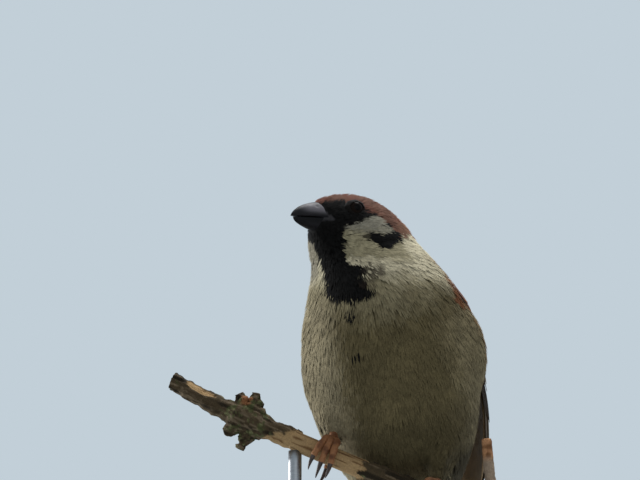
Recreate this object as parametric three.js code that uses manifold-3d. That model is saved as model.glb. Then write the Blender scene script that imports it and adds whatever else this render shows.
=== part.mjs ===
// A life-size Eurasian tree sparrow (Passer montanus) perched on a cut length of branch, which a plain
// display stand holds. Millimetres, +Z up, origin at the centre of the stand base's underside. The bird's
// trunk faces -Y, its left side is +X, and its head is turned to its right.

import * as THREE from "three";
import { mergeVertices } from "three/addons/utils/BufferGeometryUtils.js";
import Module from "manifold-3d";

const wasm = await Module();
wasm.setup();

// ---------------------------------------------------------------- driving dimensions

const GAP = 0.3; // clearance between neighbouring solids
const TRUNK_CENTRE = new THREE.Vector3(0, -2, 137); // the trunk's middle, above the base's centre
const TRUNK_PITCH = 56; // degrees from level to the trunk's axis
const HEAD_YAW = 29; // degrees the head turns to the bird's right
const HEAD_PITCH = -2; // degrees its front is lifted
const HEAD_ROLL = 7; // degrees it leans to the bird's left
const HEAD_PLACE = new THREE.Vector3(-4.9, -16.7, 36.3); // between the eyes, from the trunk's middle

const TRUNK_WIDTH = 45.4; // across the closed coat, without the wings
const TRUNK_DEPTH = 41.5; // breast to back
const HEAD_LENGTH = 20.2; // brow to nape, with feathers
const HEAD_WIDTH = 19;
const HEAD_HEIGHT = 19.8;
const BILL_ROOT = 8; // inside the feathers, ahead of the head's origin
const BILL_TIP = 20.1;
const BILL_DEPTH_UPPER = 4.5;
const BILL_DEPTH_LOWER = 3.6;
const BILL_WIDTH = 7.8;
const EYE_RADIUS = 2.5;
const EYE_PLACE = { forward: 3.8, depth: 3.6, up: 2.5 }; // its centre, with its depth inside the head's side

const WING_LENGTH = 69; // bend of the wing to the longest primary's tip
const WING_THICKNESS = 3;
const TAIL_LENGTH = 54;
const TAIL_WIDTH = 13.5;
const TAIL_THICKNESS = 2.2;
const TAIL_PITCH = 60;

const TARSUS_LENGTH = 17;
const TARSUS_RADIUS = 0.95;
const CUFFS = { right: 0.76, left: 0.88 }; // where the feathers end, as a share of the way from ankle to foot
const PALM_RADIUS = 1.45;
const TOE_RADIUS = 1;
const FEET_APART = 29; // along the perch

const PERCH_WOOD_RADIUS = 2.6; // where the bark is gone
const BARK_THICKNESS = 0.35;
const PERCH_START = -46; // the cut ends, measured along the perch from the right foot
const PERCH_END = 60;
const PERCH_SLOPE = 24.5; // degrees down towards the bird's left
const PERCH_YAW = 14; // degrees the perch's left end is turned backwards
const RIGHT_GRIP = new THREE.Vector3(-13, -14, -24.6); // perch's middle under the right foot

const BASE_RADIUS = 44;
const BASE_HEIGHT = 12;
const ROD_RADIUS = 1.75;
const ROD_ON_PERCH = -9; // where the rod meets the perch, measured as PERCH_START is

// How fine the flesh's surface nets are, and how far each reaches from its own middle.
const NETS = {
  head: { cell: 2.6, reach: 23 },
  neck: { cell: 3.8, reach: 34 },
  trunk: { cell: 4.9, reach: 38 },
  rump: { cell: 3.7, reach: 50 },
};

// ---------------------------------------------------------------- small tools

const { degToRad, smoothstep, lerp } = THREE.MathUtils;
const vec = (x, y, z) => new THREE.Vector3(x, y, z);

// Directions forward, left and up with an origin, so that a body part is laid out in its own terms.
class Frame {
  constructor(origin, rotation) {
    this.origin = origin;
    this.forward = vec(0, -1, 0).applyQuaternion(rotation);
    this.left = vec(1, 0, 0).applyQuaternion(rotation);
    this.up = vec(0, 0, 1).applyQuaternion(rotation);
  }
  at(forward, left, up) {
    return this.origin
      .clone()
      .addScaledVector(this.forward, forward)
      .addScaledVector(this.left, left)
      .addScaledVector(this.up, up);
  }
  local(p) {
    const d = p.clone().sub(this.origin);
    return vec(d.dot(this.forward), d.dot(this.left), d.dot(this.up));
  }
}

// Yaw turns to the bird's right, pitch lifts the front, roll leans to its left; all in degrees.
function turned(yaw, pitch, roll = 0) {
  return new THREE.Quaternion().setFromEuler(
    new THREE.Euler(-degToRad(pitch), degToRad(roll), -degToRad(yaw), "ZXY"),
  );
}

function solidOf(geometry) {
  const bare = new THREE.BufferGeometry();
  bare.setAttribute("position", geometry.getAttribute("position"));
  bare.setIndex(geometry.index);
  const merged = mergeVertices(bare, 1e-4);
  return new wasm.Manifold(
    new wasm.Mesh({
      numProp: 3,
      vertProperties: new Float32Array(merged.attributes.position.array),
      triVerts: new Uint32Array(merged.index.array),
    }),
  );
}

function geometryOf(solid) {
  const mesh = solid.getMesh();
  const positions = new Float32Array(mesh.numVert * 3);
  for (let i = 0; i < mesh.numVert; i++) {
    positions.set(mesh.vertProperties.subarray(i * mesh.numProp, i * mesh.numProp + 3), i * 3);
  }
  const geometry = new THREE.BufferGeometry();
  geometry.setAttribute("position", new THREE.BufferAttribute(positions, 3));
  geometry.setIndex(new THREE.BufferAttribute(mesh.triVerts, 1));
  return geometry;
}

// A cut can leave crumbs, so only the largest body is kept.
function largest(solid) {
  return solid.decompose().reduce((a, b) => (b.volume() > a.volume() ? b : a), solid);
}

// The part of a solid that lies between two planes across a frame's forward direction.
function sliced(solid, frame, from, to) {
  const SPAN = 300;
  const box = new THREE.BoxGeometry(SPAN, to - from, SPAN);
  const basis = new THREE.Matrix4().makeBasis(frame.left, frame.forward.clone().negate(), frame.up);
  basis.setPosition(frame.at((from + to) / 2, 0, 0));
  return solid.intersect(solidOf(box.applyMatrix4(basis)));
}

// A smooth function through stops of [share, value].
function through(stops) {
  const last = stops.length - 1;
  const slope = (i) => {
    const [before, after] = [stops[Math.max(i - 1, 0)], stops[Math.min(i + 1, last)]];
    return (after[1] - before[1]) / (after[0] - before[0]);
  };
  return (t) => {
    const i = Math.min(stops.findLastIndex(([share]) => share <= t), last - 1);
    const [[from, a], [to, b]] = [stops[i], stops[i + 1]];
    const span = to - from;
    const u = (t - from) / span;
    const bend = u * (1 - u) * ((1 - u) * (slope(i) * span - (b - a)) - u * (slope(i + 1) * span - (b - a)));
    return lerp(a, b, u) + bend;
  };
}

// A closed surface through rings of equally many points, with a fan over each end, facing outwards.
function loft(rings) {
  const sides = rings[0].length;
  const centre = (ring) => ring.reduce((sum, p) => sum.add(p), vec(0, 0, 0)).divideScalar(sides);
  const points = [...rings.flat(), centre(rings[0]), centre(rings.at(-1))];
  const firstHub = points.length - 2;
  const lastRing = (rings.length - 1) * sides;
  const faces = [];
  for (let k = 0; k < sides; k++) {
    const next = (k + 1) % sides;
    for (let r = 0; r < rings.length - 1; r++) {
      const a = r * sides;
      faces.push([a + k, a + next, a + sides + next], [a + k, a + sides + next, a + sides + k]);
    }
    faces.push([firstHub, next, k], [firstHub + 1, lastRing + k, lastRing + next]);
  }
  const volume = faces.reduce(
    (sum, [a, b, c]) => sum + points[a].dot(points[b].clone().cross(points[c])),
    0,
  );
  const facing = volume > 0 ? faces : faces.map(([a, b, c]) => [a, c, b]);
  const geometry = new THREE.BufferGeometry().setFromPoints(points);
  geometry.setIndex(facing.flat());
  return geometry;
}

// A round tube along a curve whose radius is a function of the share of the way along it.
function taperedTube(curve, radius, steps, sides) {
  const frames = curve.computeFrenetFrames(steps);
  const rings = [];
  for (let i = 0; i <= steps; i++) {
    const middle = curve.getPointAt(i / steps);
    const ring = [];
    for (let k = 0; k < sides; k++) {
      const angle = (2 * Math.PI * k) / sides;
      const out = frames.normals[i]
        .clone()
        .multiplyScalar(Math.cos(angle))
        .addScaledVector(frames.binormals[i], Math.sin(angle));
      ring.push(middle.clone().addScaledVector(out, radius(i / steps)));
    }
    rings.push(ring);
  }
  return loft(rings);
}

function mirrored(geometry) {
  const copy = geometry.clone().applyMatrix4(new THREE.Matrix4().makeScale(-1, 1, 1));
  const index = copy.index.array;
  for (let i = 0; i < index.length; i += 3) [index[i + 1], index[i + 2]] = [index[i + 2], index[i + 1]];
  return copy;
}

// ---------------------------------------------------------------- soft forms as distance fields

// Distance to an ellipsoid whose half sizes run along a frame's forward, left and up.
function ellipsoid(frame, forward, left, up, halves) {
  const centre = frame.at(forward, left, up);
  return (p) => {
    const d = p.clone().sub(centre);
    const q = vec(d.dot(frame.forward), d.dot(frame.left), d.dot(frame.up)).divide(halves);
    const slope = q.clone().divide(halves).length();
    return slope === 0 ? -Math.min(...halves) : (q.length() * (q.length() - 1)) / slope;
  };
}

// Distance to a cone with round ends of two radii.
function roundCone(from, to, fromRadius, toRadius) {
  const along = to.clone().sub(from);
  const lengthSq = along.lengthSq();
  return (p) => {
    const t = THREE.MathUtils.clamp(p.clone().sub(from).dot(along) / lengthSq, 0, 1);
    return p.distanceTo(from.clone().addScaledVector(along, t)) - lerp(fromRadius, toRadius, t);
  };
}

// A form pressed towards the level of the tail's origin, seen from the side.
function flattened(share, field) {
  return (p) => {
    const place = tailFrame.local(p);
    return field(tailFrame.at(place.x, place.y, place.z / share)) * share;
  };
}

// Several forms as one, with the creases between them filled to a depth of about a quarter of soft.
function blended(soft, ...fields) {
  return (p) =>
    fields
      .map((field) => field(p))
      .reduce((a, b) => {
        const near = Math.max(soft - Math.abs(a - b), 0) / soft;
        return Math.min(a, b) - (near * near * soft) / 4;
      });
}

// The corners of a grid cell, its edges as pairs of corners, and each corner's neighbours along those edges.
const CORNERS = [0, 1, 2, 3, 4, 5, 6, 7].map((c) => [c & 1, (c >> 1) & 1, (c >> 2) & 1]);
const CELL_EDGES = CORNERS.flatMap((_, c) =>
  [1, 2, 4].filter((bit) => !(c & bit)).map((bit) => [c, c | bit]),
);
const NEIGHBOURS = CORNERS.map((_, c) => [c ^ 1, c ^ 2, c ^ 4]);

// Labels the inside corners of a cell so that corners joined along its edges share a label.
function joinedCorners(inside) {
  const label = new Array(8).fill(-1);
  for (let start = 0; start < 8; start++) {
    if (!inside[start] || label[start] >= 0) continue;
    const queue = [start];
    while (queue.length) {
      const corner = queue.pop();
      label[corner] = start;
      queue.push(...NEIGHBOURS[corner].filter((c) => inside[c] && label[c] < 0));
    }
  }
  return label;
}

// The surface where a field is zero, as a closed mesh. Each grid cell it crosses gives one point per sheet.
function polygonise(field, low, high, cell) {
  const count = high.clone().sub(low).divideScalar(cell).ceil().addScalar(1);
  const place = (i, j, k) => vec(low.x + i * cell, low.y + j * cell, low.z + k * cell);
  const at = (i, j, k) => i + count.x * (j + count.y * k);
  const values = new Float64Array(count.x * count.y * count.z);
  for (let k = 0; k < count.z; k++)
    for (let j = 0; j < count.y; j++)
      for (let i = 0; i < count.x; i++) {
        const rim = Math.min(i, j, k) < 2 || i > count.x - 2 || j > count.y - 2 || k > count.z - 2;
        values[at(i, j, k)] = Math.max(field(place(i, j, k)), rim ? cell / 2 : -Infinity);
      }

  const points = [];
  const pointOf = new Map();
  for (let k = 0; k < count.z - 1; k++)
    for (let j = 0; j < count.y - 1; j++)
      for (let i = 0; i < count.x - 1; i++) {
        const v = CORNERS.map(([a, b, c]) => values[at(i + a, j + b, k + c)]);
        const inside = v.map((value) => value < 0);
        const crossed = CELL_EDGES.filter(([a, b]) => inside[a] !== inside[b]);
        if (!crossed.length) continue;
        const label = joinedCorners(inside);
        for (const sheet of new Set(label.filter((l) => l >= 0))) {
          const mine = crossed.filter(([a, b]) => label[inside[a] ? a : b] === sheet);
          if (!mine.length) continue;
          const sum = vec(0, 0, 0);
          for (const [a, b] of mine) {
            const [from, to] = [a, b].map((c) => {
              const [di, dj, dk] = CORNERS[c];
              return place(i + di, j + dj, k + dk);
            });
            sum.add(from.lerp(to, v[a] / (v[a] - v[b])));
          }
          label.forEach((l, c) => l === sheet && pointOf.set(at(i, j, k) * 8 + c, points.length));
          points.push(ontoSurface(field, sum.divideScalar(mine.length), cell / 3));
        }
      }

  const AXES = [
    [[1, 0, 0], [0, 1, 0], [0, 0, 1]],
    [[0, 1, 0], [0, 0, 1], [1, 0, 0]],
    [[0, 0, 1], [1, 0, 0], [0, 1, 0]],
  ];
  const index = [];
  for (let k = 1; k < count.z - 1; k++)
    for (let j = 1; j < count.y - 1; j++)
      for (let i = 1; i < count.x - 1; i++)
        for (const [along, u, v] of AXES) {
          const far = [i + along[0], j + along[1], k + along[2]];
          const inside = values[at(i, j, k)] < 0;
          if (inside === values[at(...far)] < 0) continue;
          const corner = inside ? [i, j, k] : far;
          const [a, b, c, d] = [[1, 1], [0, 1], [0, 0], [1, 0]].map(([du, dv]) => {
            const home = [0, 1, 2].map((n) => [i, j, k][n] - du * u[n] - dv * v[n]);
            const bits = home.map((h, n) => corner[n] - h);
            return pointOf.get(at(...home) * 8 + bits[0] + 2 * bits[1] + 4 * bits[2]);
          });
          index.push(...(inside ? [a, b, c, a, c, d] : [a, c, b, a, d, c]));
        }
  const geometry = new THREE.BufferGeometry().setFromPoints(points);
  geometry.setIndex(index);
  return geometry;
}

// Moves a point near a field's surface onto it, by at most reach.
function ontoSurface(field, point, reach) {
  const STEP = 0.05;
  const moved = point.clone();
  for (let pass = 0; pass < 2; pass++) {
    const here = field(moved);
    const slope = vec(
      field(moved.clone().setX(moved.x + STEP)) - here,
      field(moved.clone().setY(moved.y + STEP)) - here,
      field(moved.clone().setZ(moved.z + STEP)) - here,
    ).divideScalar(STEP);
    moved.addScaledVector(slope, -here / Math.max(slope.lengthSq(), 0.25));
  }
  return moved.sub(point).clampLength(0, reach).add(point);
}

// ---------------------------------------------------------------- the bird's frames and its whole outline

const trunkFrame = new Frame(vec(0, 0, 0), turned(0, TRUNK_PITCH));
const headFrame = new Frame(HEAD_PLACE, turned(HEAD_YAW, HEAD_PITCH, HEAD_ROLL));
const tailFrame = new Frame(trunkFrame.at(-27, 0, 5.5), turned(0, TAIL_PITCH));

function trunkField() {
  const [wide, deep] = [TRUNK_WIDTH / 2, TRUNK_DEPTH / 2];
  return blended(
    10,
    ellipsoid(trunkFrame, 8.7, 0, 1.3, vec(23.9, wide * 0.95, deep * 0.93)),
    ellipsoid(trunkFrame, -4.8, 0, -1, vec(24.4, wide, deep)),
    ellipsoid(trunkFrame, -18.7, 0, -3, vec(19.7, wide * 0.73, deep * 0.74)),
  );
}

// Loose feathers at the breast's sides, which lie over the wings' lower edges.
function flankField(side) {
  const [forward, out, back] = [2.6, 17.1, 4.8];
  return ellipsoid(trunkFrame, forward, side * out, back, vec(12, 8.4, 8));
}

function rumpField() {
  return blended(
    6,
    flattened(0.85, roundCone(trunkFrame.at(-16, 0, 3), tailFrame.at(-19, 0, 0.5), 15, 5)),
    flattened(0.75, roundCone(trunkFrame.at(-20, 0, -3), tailFrame.at(-26, 0, -2.5), 13, 4)),
  );
}

function neckField() {
  return blended(
    6,
    roundCone(trunkFrame.at(17, 2.3, 1), headFrame.at(-6.4, 2.2, -8.1), 16, 11.7),
    roundCone(trunkFrame.at(15, -1, -5), headFrame.at(3, -0.8, -7.8), 13.2, 6.9),
  );
}

function headField() {
  const halves = vec(HEAD_LENGTH, HEAD_WIDTH, HEAD_HEIGHT).divideScalar(2);
  return blended(
    4,
    ellipsoid(headFrame, -0.8, 0, -1.7, halves),
    ellipsoid(headFrame, -3, 0, -5.4, vec(8.6, 9.8, 6.8)),
    ellipsoid(headFrame, 5.4, 0, 0.1, vec(9, 4.6, 6.6)),
  );
}

const bodyField = blended(9, trunkField(), neckField());
const plainField = blended(5, blended(7, bodyField, headField()), rumpField());
const fleshField = blended(4, plainField, flankField(1), flankField(-1));

// Planes that part the outline into head, neck, trunk and rump.
const collar = new Frame(
  headFrame.at(-1, 0, -11.3),
  new THREE.Quaternion().setFromUnitVectors(vec(0, -1, 0), vec(-0.12, -0.42, 0.9).normalize()),
);
const SHOULDER_CUT = 20; // along the trunk's axis
const RUMP_CUT = -27;

// The rows of wing feathers end along lines that run from low in front to high behind.
const wingCutFrame = new Frame(vec(0, 0, 0), turned(0, TRUNK_PITCH + 38));
const WING_CUTS = { coverts: 4, secondaries: -15 };

// ---------------------------------------------------------------- wings and tail

// The closed wing's edges, as degrees round the trunk's axis from its back, by the share of its length.
const WING_EDGES = {
  upper: through([[0, 60], [0.2, 42], [0.5, 25], [0.8, 19], [1, 17]]),
  lower: through([[0, 74], [0.1, 74], [0.26, 71], [0.42, 82], [0.6, 90], [0.8, 86], [0.9, 66], [1, 38]]),
};

// The closed wing is a curved leaf on the side of the trunk. A hollow for it is grown by the clearance,
// and opened outwards so that no flesh is left over the wing.
function wingGeometry(grow, open = 0) {
  const STATIONS = 13;
  const ACROSS = 4;
  const BEND = 19.5; // along the trunk's axis
  const shell = { width: TRUNK_WIDTH / 2 + 0.8, depth: TRUNK_DEPTH / 2 + 1.4, length: 50, middle: -4 };
  const rings = [];
  for (let i = 0; i <= STATIONS; i++) {
    const t = i / STATIONS;
    const along = BEND + grow - t * (WING_LENGTH + 2 * grow);
    const taper = Math.sqrt(1 - ((along - shell.middle) / shell.length) ** 2);
    const [up, low] = [WING_EDGES.upper(t), WING_EDGES.lower(t)];
    const ends = Math.min(1, 6 * t + 0.25, 5 * (1 - t) + 0.2);
    const outer = [];
    const inner = [];
    for (let k = 0; k <= ACROSS; k++) {
      const share = k / ACROSS;
      const edgeGrow = (grow * 2.6 * (2 * share - 1)) / taper;
      const angle = degToRad(lerp(up, low, share) + edgeGrow);
      const lens = Math.sqrt(1 - (2 * share - 1) ** 2 * 0.92);
      const half = (WING_THICKNESS / 2) * lens * ends + grow;
      for (const [offset, list] of [[half + open, outer], [-half, inner]]) {
        const left = (shell.width * taper + offset) * Math.sin(angle);
        const back = (shell.depth * taper + offset) * Math.cos(angle);
        list.push(trunkFrame.at(along, left, back + 1.2));
      }
    }
    rings.push([...outer, ...inner.reverse()]);
  }
  return loft(rings);
}

function tailGeometry(grow) {
  const STATIONS = 8;
  const ACROSS = 6;
  const NOTCH = 3;
  const rings = [];
  for (let i = 0; i <= STATIONS; i++) {
    const t = i / STATIONS;
    const half = lerp(0.36, 0.5, smoothstep(t, 0, 0.9)) * TAIL_WIDTH * (t > 0.97 ? 0.94 : 1) + grow;
    const thick = (TAIL_THICKNESS / 2) * lerp(1.1, 0.6, t) + grow;
    const upper = [];
    const under = [];
    for (let k = 0; k <= ACROSS; k++) {
      const across = (2 * k) / ACROSS - 1;
      const notch = NOTCH * (1 - Math.abs(across)) * smoothstep(t, 0.75, 1);
      const along = grow - t * (TAIL_LENGTH + 2 * grow) + notch;
      const roof = 1.1 * (1 - across * across);
      const edge = 1 - 0.45 * across ** 4;
      upper.push(tailFrame.at(along, across * half, roof + thick * edge));
      under.push(tailFrame.at(along, across * half, roof * 0.7 - thick * edge));
    }
    rings.push([...upper, ...under.reverse()]);
  }
  return loft(rings);
}

// ---------------------------------------------------------------- perch

const perchRight = turned(-PERCH_YAW, 0);
const perchAlong = vec(1, 0, -Math.tan(degToRad(PERCH_SLOPE))).normalize().applyQuaternion(perchRight);
const perchUp = vec(0, 0, 1).addScaledVector(perchAlong, -perchAlong.z).normalize();
const perchFront = perchAlong.clone().cross(perchUp).normalize();
const perchPoint = (along, front, up) =>
  RIGHT_GRIP.clone()
    .addScaledVector(perchAlong, along)
    .addScaledVector(perchFront, front)
    .addScaledVector(perchUp, up);

// The branch steepens towards both ends: it rises more on the bird's right and falls more on its left.
const perchRise = (along) =>
  0.0022 * Math.max(0, -along - 15) ** 2 - 0.001 * Math.max(0, along - 10) ** 2;
const perchMiddle = (along) => perchPoint(along, 0, perchRise(along));
const BARK_EDGES = { right: -9.5, left: 11 }; // between them the wood is bare
const KNOT_ALONG = -23;

function perchRadius(along) {
  const bark = along < BARK_EDGES.right || along > BARK_EDGES.left ? BARK_THICKNESS : 0;
  const knot = 1.5 * Math.exp(-(((along - KNOT_ALONG) / 4.8) ** 2));
  const uneven = bark ? 0.14 * Math.sin(along * 0.9) + 0.1 * Math.sin(along * 2.1) : 0;
  const thinning = 0.018 * Math.max(0, -along - 10);
  return PERCH_WOOD_RADIUS + bark + knot + uneven - thinning;
}

function perchGeometry(grow) {
  const SIDES = 8;
  const STEP = 5;
  const marks = [];
  for (let along = PERCH_START; along <= PERCH_END + 1e-6; along += STEP) marks.push(along);
  for (const edge of Object.values(BARK_EDGES)) marks.push(edge - 0.25, edge + 0.25);
  marks.sort((a, b) => a - b);
  const rings = marks.map((along) => {
    const ring = [];
    for (let k = 0; k < SIDES; k++) {
      const angle = (2 * Math.PI * k) / SIDES;
      const radius = perchRadius(along) + grow;
      ring.push(perchPoint(along, radius * Math.sin(angle), perchRise(along) + radius * Math.cos(angle)));
    }
    return ring;
  });
  return loft(rings);
}

// Short broken spurs round the knot, which lean along, to the front and up by these amounts.
const SPURS = [
  { lean: [-0.4, 1.4, 7.4], radius: 2.6 },
  { lean: [-4.8, 1.2, 5.1], radius: 2.3 },
  { lean: [3.2, 1.6, 4], radius: 2.4 },
  { lean: [-4.2, 1.4, -5.4], radius: 2.3 },
  { lean: [1.4, 0.6, -7.6], radius: 1.9 },
];

function perchSolid() {
  let solid = solidOf(perchGeometry(0)).add(solidOf(twigGeometry()));
  for (const { lean, radius } of SPURS) {
    const root = perchMiddle(KNOT_ALONG);
    const tip = perchPoint(KNOT_ALONG + lean[0], lean[1], perchRise(KNOT_ALONG) + lean[2]);
    const spur = taperedTube(new THREE.LineCurve3(root, tip), (t) => radius * (1 - 0.7 * t * t), 3, 6);
    solid = solid.add(solidOf(spur));
  }
  return largest(solid);
}

// A side twig that stands up from the perch's left part.
const TWIG_ALONG = 48.5;
const TWIG_HEIGHT = 22;
const TWIG_RADIUS = 1.45;

function twigGeometry() {
  const foot = perchMiddle(TWIG_ALONG).addScaledVector(vec(0, 0, 1), perchRadius(TWIG_ALONG) - 1);
  const bend = foot.clone().add(vec(-1.6, -0.4, TWIG_HEIGHT * 0.5));
  const tip = foot.clone().add(vec(-2.2, -0.8, TWIG_HEIGHT));
  const curve = new THREE.CatmullRomCurve3([foot, bend, tip]);
  return taperedTube(curve, (t) => TWIG_RADIUS * (1.25 - 0.4 * smoothstep(t, 0.3, 0.6)), 9, 9);
}

// ---------------------------------------------------------------- legs

// Toes by their place along the perch at root and tip, the angle they wrap to and their claw's length.
const TOES = {
  inner: { root: 1, tip: 2.9, wrap: 122, claw: 4 },
  middle: { root: 0, tip: 0.4, wrap: 128, claw: 4.6 },
  outer: { root: -1, tip: -2, wrap: 118, claw: 4 },
  hallux: { root: 0.2, tip: 0.8, wrap: -128, claw: 5.2 },
};
const HOLD = 0.35; // clearance between toes and perch

function gripOf(side) {
  const along = side < 0 ? 0 : FEET_APART;
  const radius = Math.max(perchRadius(along), perchRadius(along - 3), perchRadius(along + 3));
  const middle = perchMiddle(along);
  // A place round the perch: how far along, the angle from its top to the bird's front, and how far out.
  const around = (shift, angle, out) =>
    middle
      .clone()
      .addScaledVector(perchAlong, shift)
      .addScaledVector(perchUp, Math.cos(degToRad(angle)) * (radius + HOLD + out))
      .addScaledVector(perchFront, Math.sin(degToRad(angle)) * (radius + HOLD + out));
  return { around, ball: around(0, -14, 1.5) };
}

function toeCurve(side, toe) {
  const { around, ball } = gripOf(side);
  const inwards = side < 0 ? 1 : -1; // the inner toe lies towards the other foot
  const points = [ball];
  for (const share of [0.22, 0.45, 0.7, 1]) {
    const angle = lerp(-10, toe.wrap, share);
    const shift = inwards * lerp(toe.root, toe.tip, share);
    points.push(around(shift, angle, TOE_RADIUS + 0.9 * smoothstep(share, 0.7, 1)));
  }
  return new THREE.CatmullRomCurve3(points);
}

const toePads = (t) => TOE_RADIUS * (1.08 - 0.28 * t + 0.09 * Math.cos(t * 6 * Math.PI));

function ankleOf(side) {
  const lean = side < 0 ? vec(-3, 6, 15) : vec(-2, 7, 15.5);
  return gripOf(side).ball.clone().addScaledVector(lean.normalize(), TARSUS_LENGTH);
}

function legSolid(side, grow = 0) {
  const { ball } = gripOf(side);
  const shank = new THREE.LineCurve3(ball, ankleOf(side));
  const shankRadius = (t) =>
    TARSUS_RADIUS * (1.25 - 0.35 * smoothstep(t, 0, 0.3) + 0.5 * smoothstep(t, 0.75, 1));
  const palm = new THREE.SphereGeometry(PALM_RADIUS + grow, 8, 6).translate(ball.x, ball.y, ball.z);
  let solid = solidOf(taperedTube(shank, (t) => shankRadius(t) + grow, 5, 7)).add(solidOf(palm));
  for (const toe of Object.values(TOES)) {
    solid = solid.add(solidOf(taperedTube(toeCurve(side, toe), (t) => toePads(t) + grow, 6, 6)));
  }
  return solid;
}

function clawGeometry(side, toe) {
  const curve = toeCurve(side, toe);
  const heading = curve.getTangentAt(1);
  const start = curve.getPointAt(1).addScaledVector(heading, GAP);
  const towardsPerch = perchMiddle(side < 0 ? 0 : FEET_APART).sub(start);
  towardsPerch.addScaledVector(heading, -towardsPerch.dot(heading)).normalize();
  const middle = start.clone().addScaledVector(heading, toe.claw * 0.55);
  const tip = start
    .clone()
    .addScaledVector(heading, toe.claw * 0.9)
    .addScaledVector(towardsPerch, toe.claw * 0.28);
  const hook = new THREE.QuadraticBezierCurve3(start, middle, tip);
  return taperedTube(hook, (t) => 0.62 * (1 - t) ** 0.8 + 0.25, 4, 5);
}

// The feathered part of a leg, which hides the ankle and ends in a cuff round the bare shank.
function thighSolid(side, grow) {
  const ankle = ankleOf(side);
  const cuff = ankle.clone().lerp(gripOf(side).ball, side < 0 ? CUFFS.right : CUFFS.left);
  const top = ankle.clone().lerp(cuff, -0.3);
  const [WIDE, CUFF] = [6.4, 2.4];
  const radius = (t) => lerp(WIDE, CUFF, smoothstep(t, 0.2, 1)) * Math.min(1, 0.55 + 3 * t) + grow;
  const lengthen = cuff.clone().sub(top).setLength(grow);
  return solidOf(taperedTube(new THREE.LineCurve3(top.sub(lengthen), cuff.add(lengthen)), radius, 6, 11));
}

// ---------------------------------------------------------------- bill and eyes

// Half of the bill, where which is 1 for the upper and -1 for the lower. Its outline curves to the tip.
function billGeometry(which, grow) {
  const STATIONS = 9;
  const ACROSS = 7;
  const tip = BILL_TIP - (which < 0 ? 0.8 : 0);
  const rings = [];
  for (let i = 0; i <= STATIONS; i++) {
    const t = i / STATIONS;
    const ends = i === 0 ? -grow : i === STATIONS ? grow : 0;
    const forward = lerp(BILL_ROOT, tip, t) + ends;
    const gape = -0.45 - 0.35 * (1 - smoothstep(t, 0, 0.35)) - 0.9 * t ** 1.5;
    const upper = BILL_DEPTH_UPPER * (1 - t ** 1.9) ** 0.62;
    const lower = BILL_DEPTH_LOWER * Math.sqrt(1 - t ** 1.7) * (1 - 0.18 * t);
    const height = (which > 0 ? upper : lower) + 0.22 + 2 * grow;
    const half = (BILL_WIDTH / 2) * (which > 0 ? 1 : 0.9) * (1 - t ** 1.35) + 0.22 + grow;
    const edge = gape + which * (GAP / 2) - which * grow;
    const ring = [];
    for (let k = 0; k <= ACROSS; k++) {
      const angle = (Math.PI * k) / ACROSS;
      const ridge = Math.sin(angle) ** (which > 0 ? 0.95 : 0.8);
      ring.push(headFrame.at(forward, half * Math.cos(angle), edge + which * height * ridge));
    }
    rings.push(ring);
  }
  return loft(rings);
}

function eyeGeometry(side, grow) {
  const ball = new THREE.SphereGeometry(EYE_RADIUS + grow, 12, 8);
  const { forward, depth, up } = EYE_PLACE;
  const place = headFrame.at(forward, side * (HEAD_WIDTH / 2 - depth), up);
  return ball.translate(place.x, place.y, place.z);
}

// ---------------------------------------------------------------- stand

function standBaseGeometry() {
  const EDGE = 1.5;
  const profile = [
    [0, 0],
    [BASE_RADIUS - 0.5, 0],
    [BASE_RADIUS, 0.5],
    [BASE_RADIUS, BASE_HEIGHT - EDGE],
    [BASE_RADIUS - EDGE, BASE_HEIGHT],
    [0, BASE_HEIGHT],
  ].map(([x, y]) => new THREE.Vector2(x, y));
  return new THREE.LatheGeometry(profile, 36).rotateX(Math.PI / 2);
}

// The rod stands on the base and its top is cupped to the perch's underside.
function standRodSolid() {
  const top = perchMiddle(ROD_ON_PERCH).add(TRUNK_CENTRE);
  const length = top.z - BASE_HEIGHT - GAP;
  const rod = new THREE.CylinderGeometry(ROD_RADIUS, ROD_RADIUS, length, 16).rotateX(Math.PI / 2);
  rod.translate(top.x, top.y, BASE_HEIGHT + GAP + length / 2);
  const cup = perchGeometry(GAP).translate(TRUNK_CENTRE.x, TRUNK_CENTRE.y, TRUNK_CENTRE.z);
  return largest(solidOf(rod).subtract(solidOf(cup)));
}

// ---------------------------------------------------------------- assembly

const COLOURS = {
  crown: { color: "#6e4030", roughness: 0.85 },
  underparts: { color: "#b3a791", roughness: 0.9 },
  back: { color: "#7a5c43", roughness: 0.9 },
  flight: { color: "#4b3a2e", roughness: 0.8 },
  bill: { color: "#2b2a2b", roughness: 0.45 },
  eye: { color: "#120c09", roughness: 0.1 },
  leg: { color: "#8a5a45", roughness: 0.6 },
  claw: { color: "#2f2622", roughness: 0.4 },
  bark: { color: "#6b5a48", roughness: 0.95 },
  base: { color: "#4a3424", roughness: 0.5 },
  rod: { color: "#8d8f92", roughness: 0.35, metalness: 1 },
};
const materials = Object.fromEntries(
  Object.entries(COLOURS).map(([name, look]) => [name, new THREE.MeshStandardMaterial(look)]),
);

function meshOf(name, shape, look) {
  const geometry = shape.isBufferGeometry ? shape : geometryOf(shape);
  const mesh = new THREE.Mesh(geometry, materials[look]);
  mesh.name = name;
  return mesh;
}

// The outline between two planes of a frame, meshed at its own fineness.
function fleshBetween(frame, from, to, { cell, reach }) {
  const MARGIN = 2 * cell;
  const field = (p) => {
    const along = frame.local(p).x;
    return Math.max(fleshField(p), from - MARGIN - along, along - to - MARGIN);
  };
  const middle = frame.at((Math.max(from, -reach) + Math.min(to, reach)) / 2, 0, 0);
  const low = middle.clone().subScalar(reach);
  const high = middle.clone().addScalar(reach);
  return sliced(solidOf(polygonise(field, low, high, cell)), frame, from, to);
}

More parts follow.
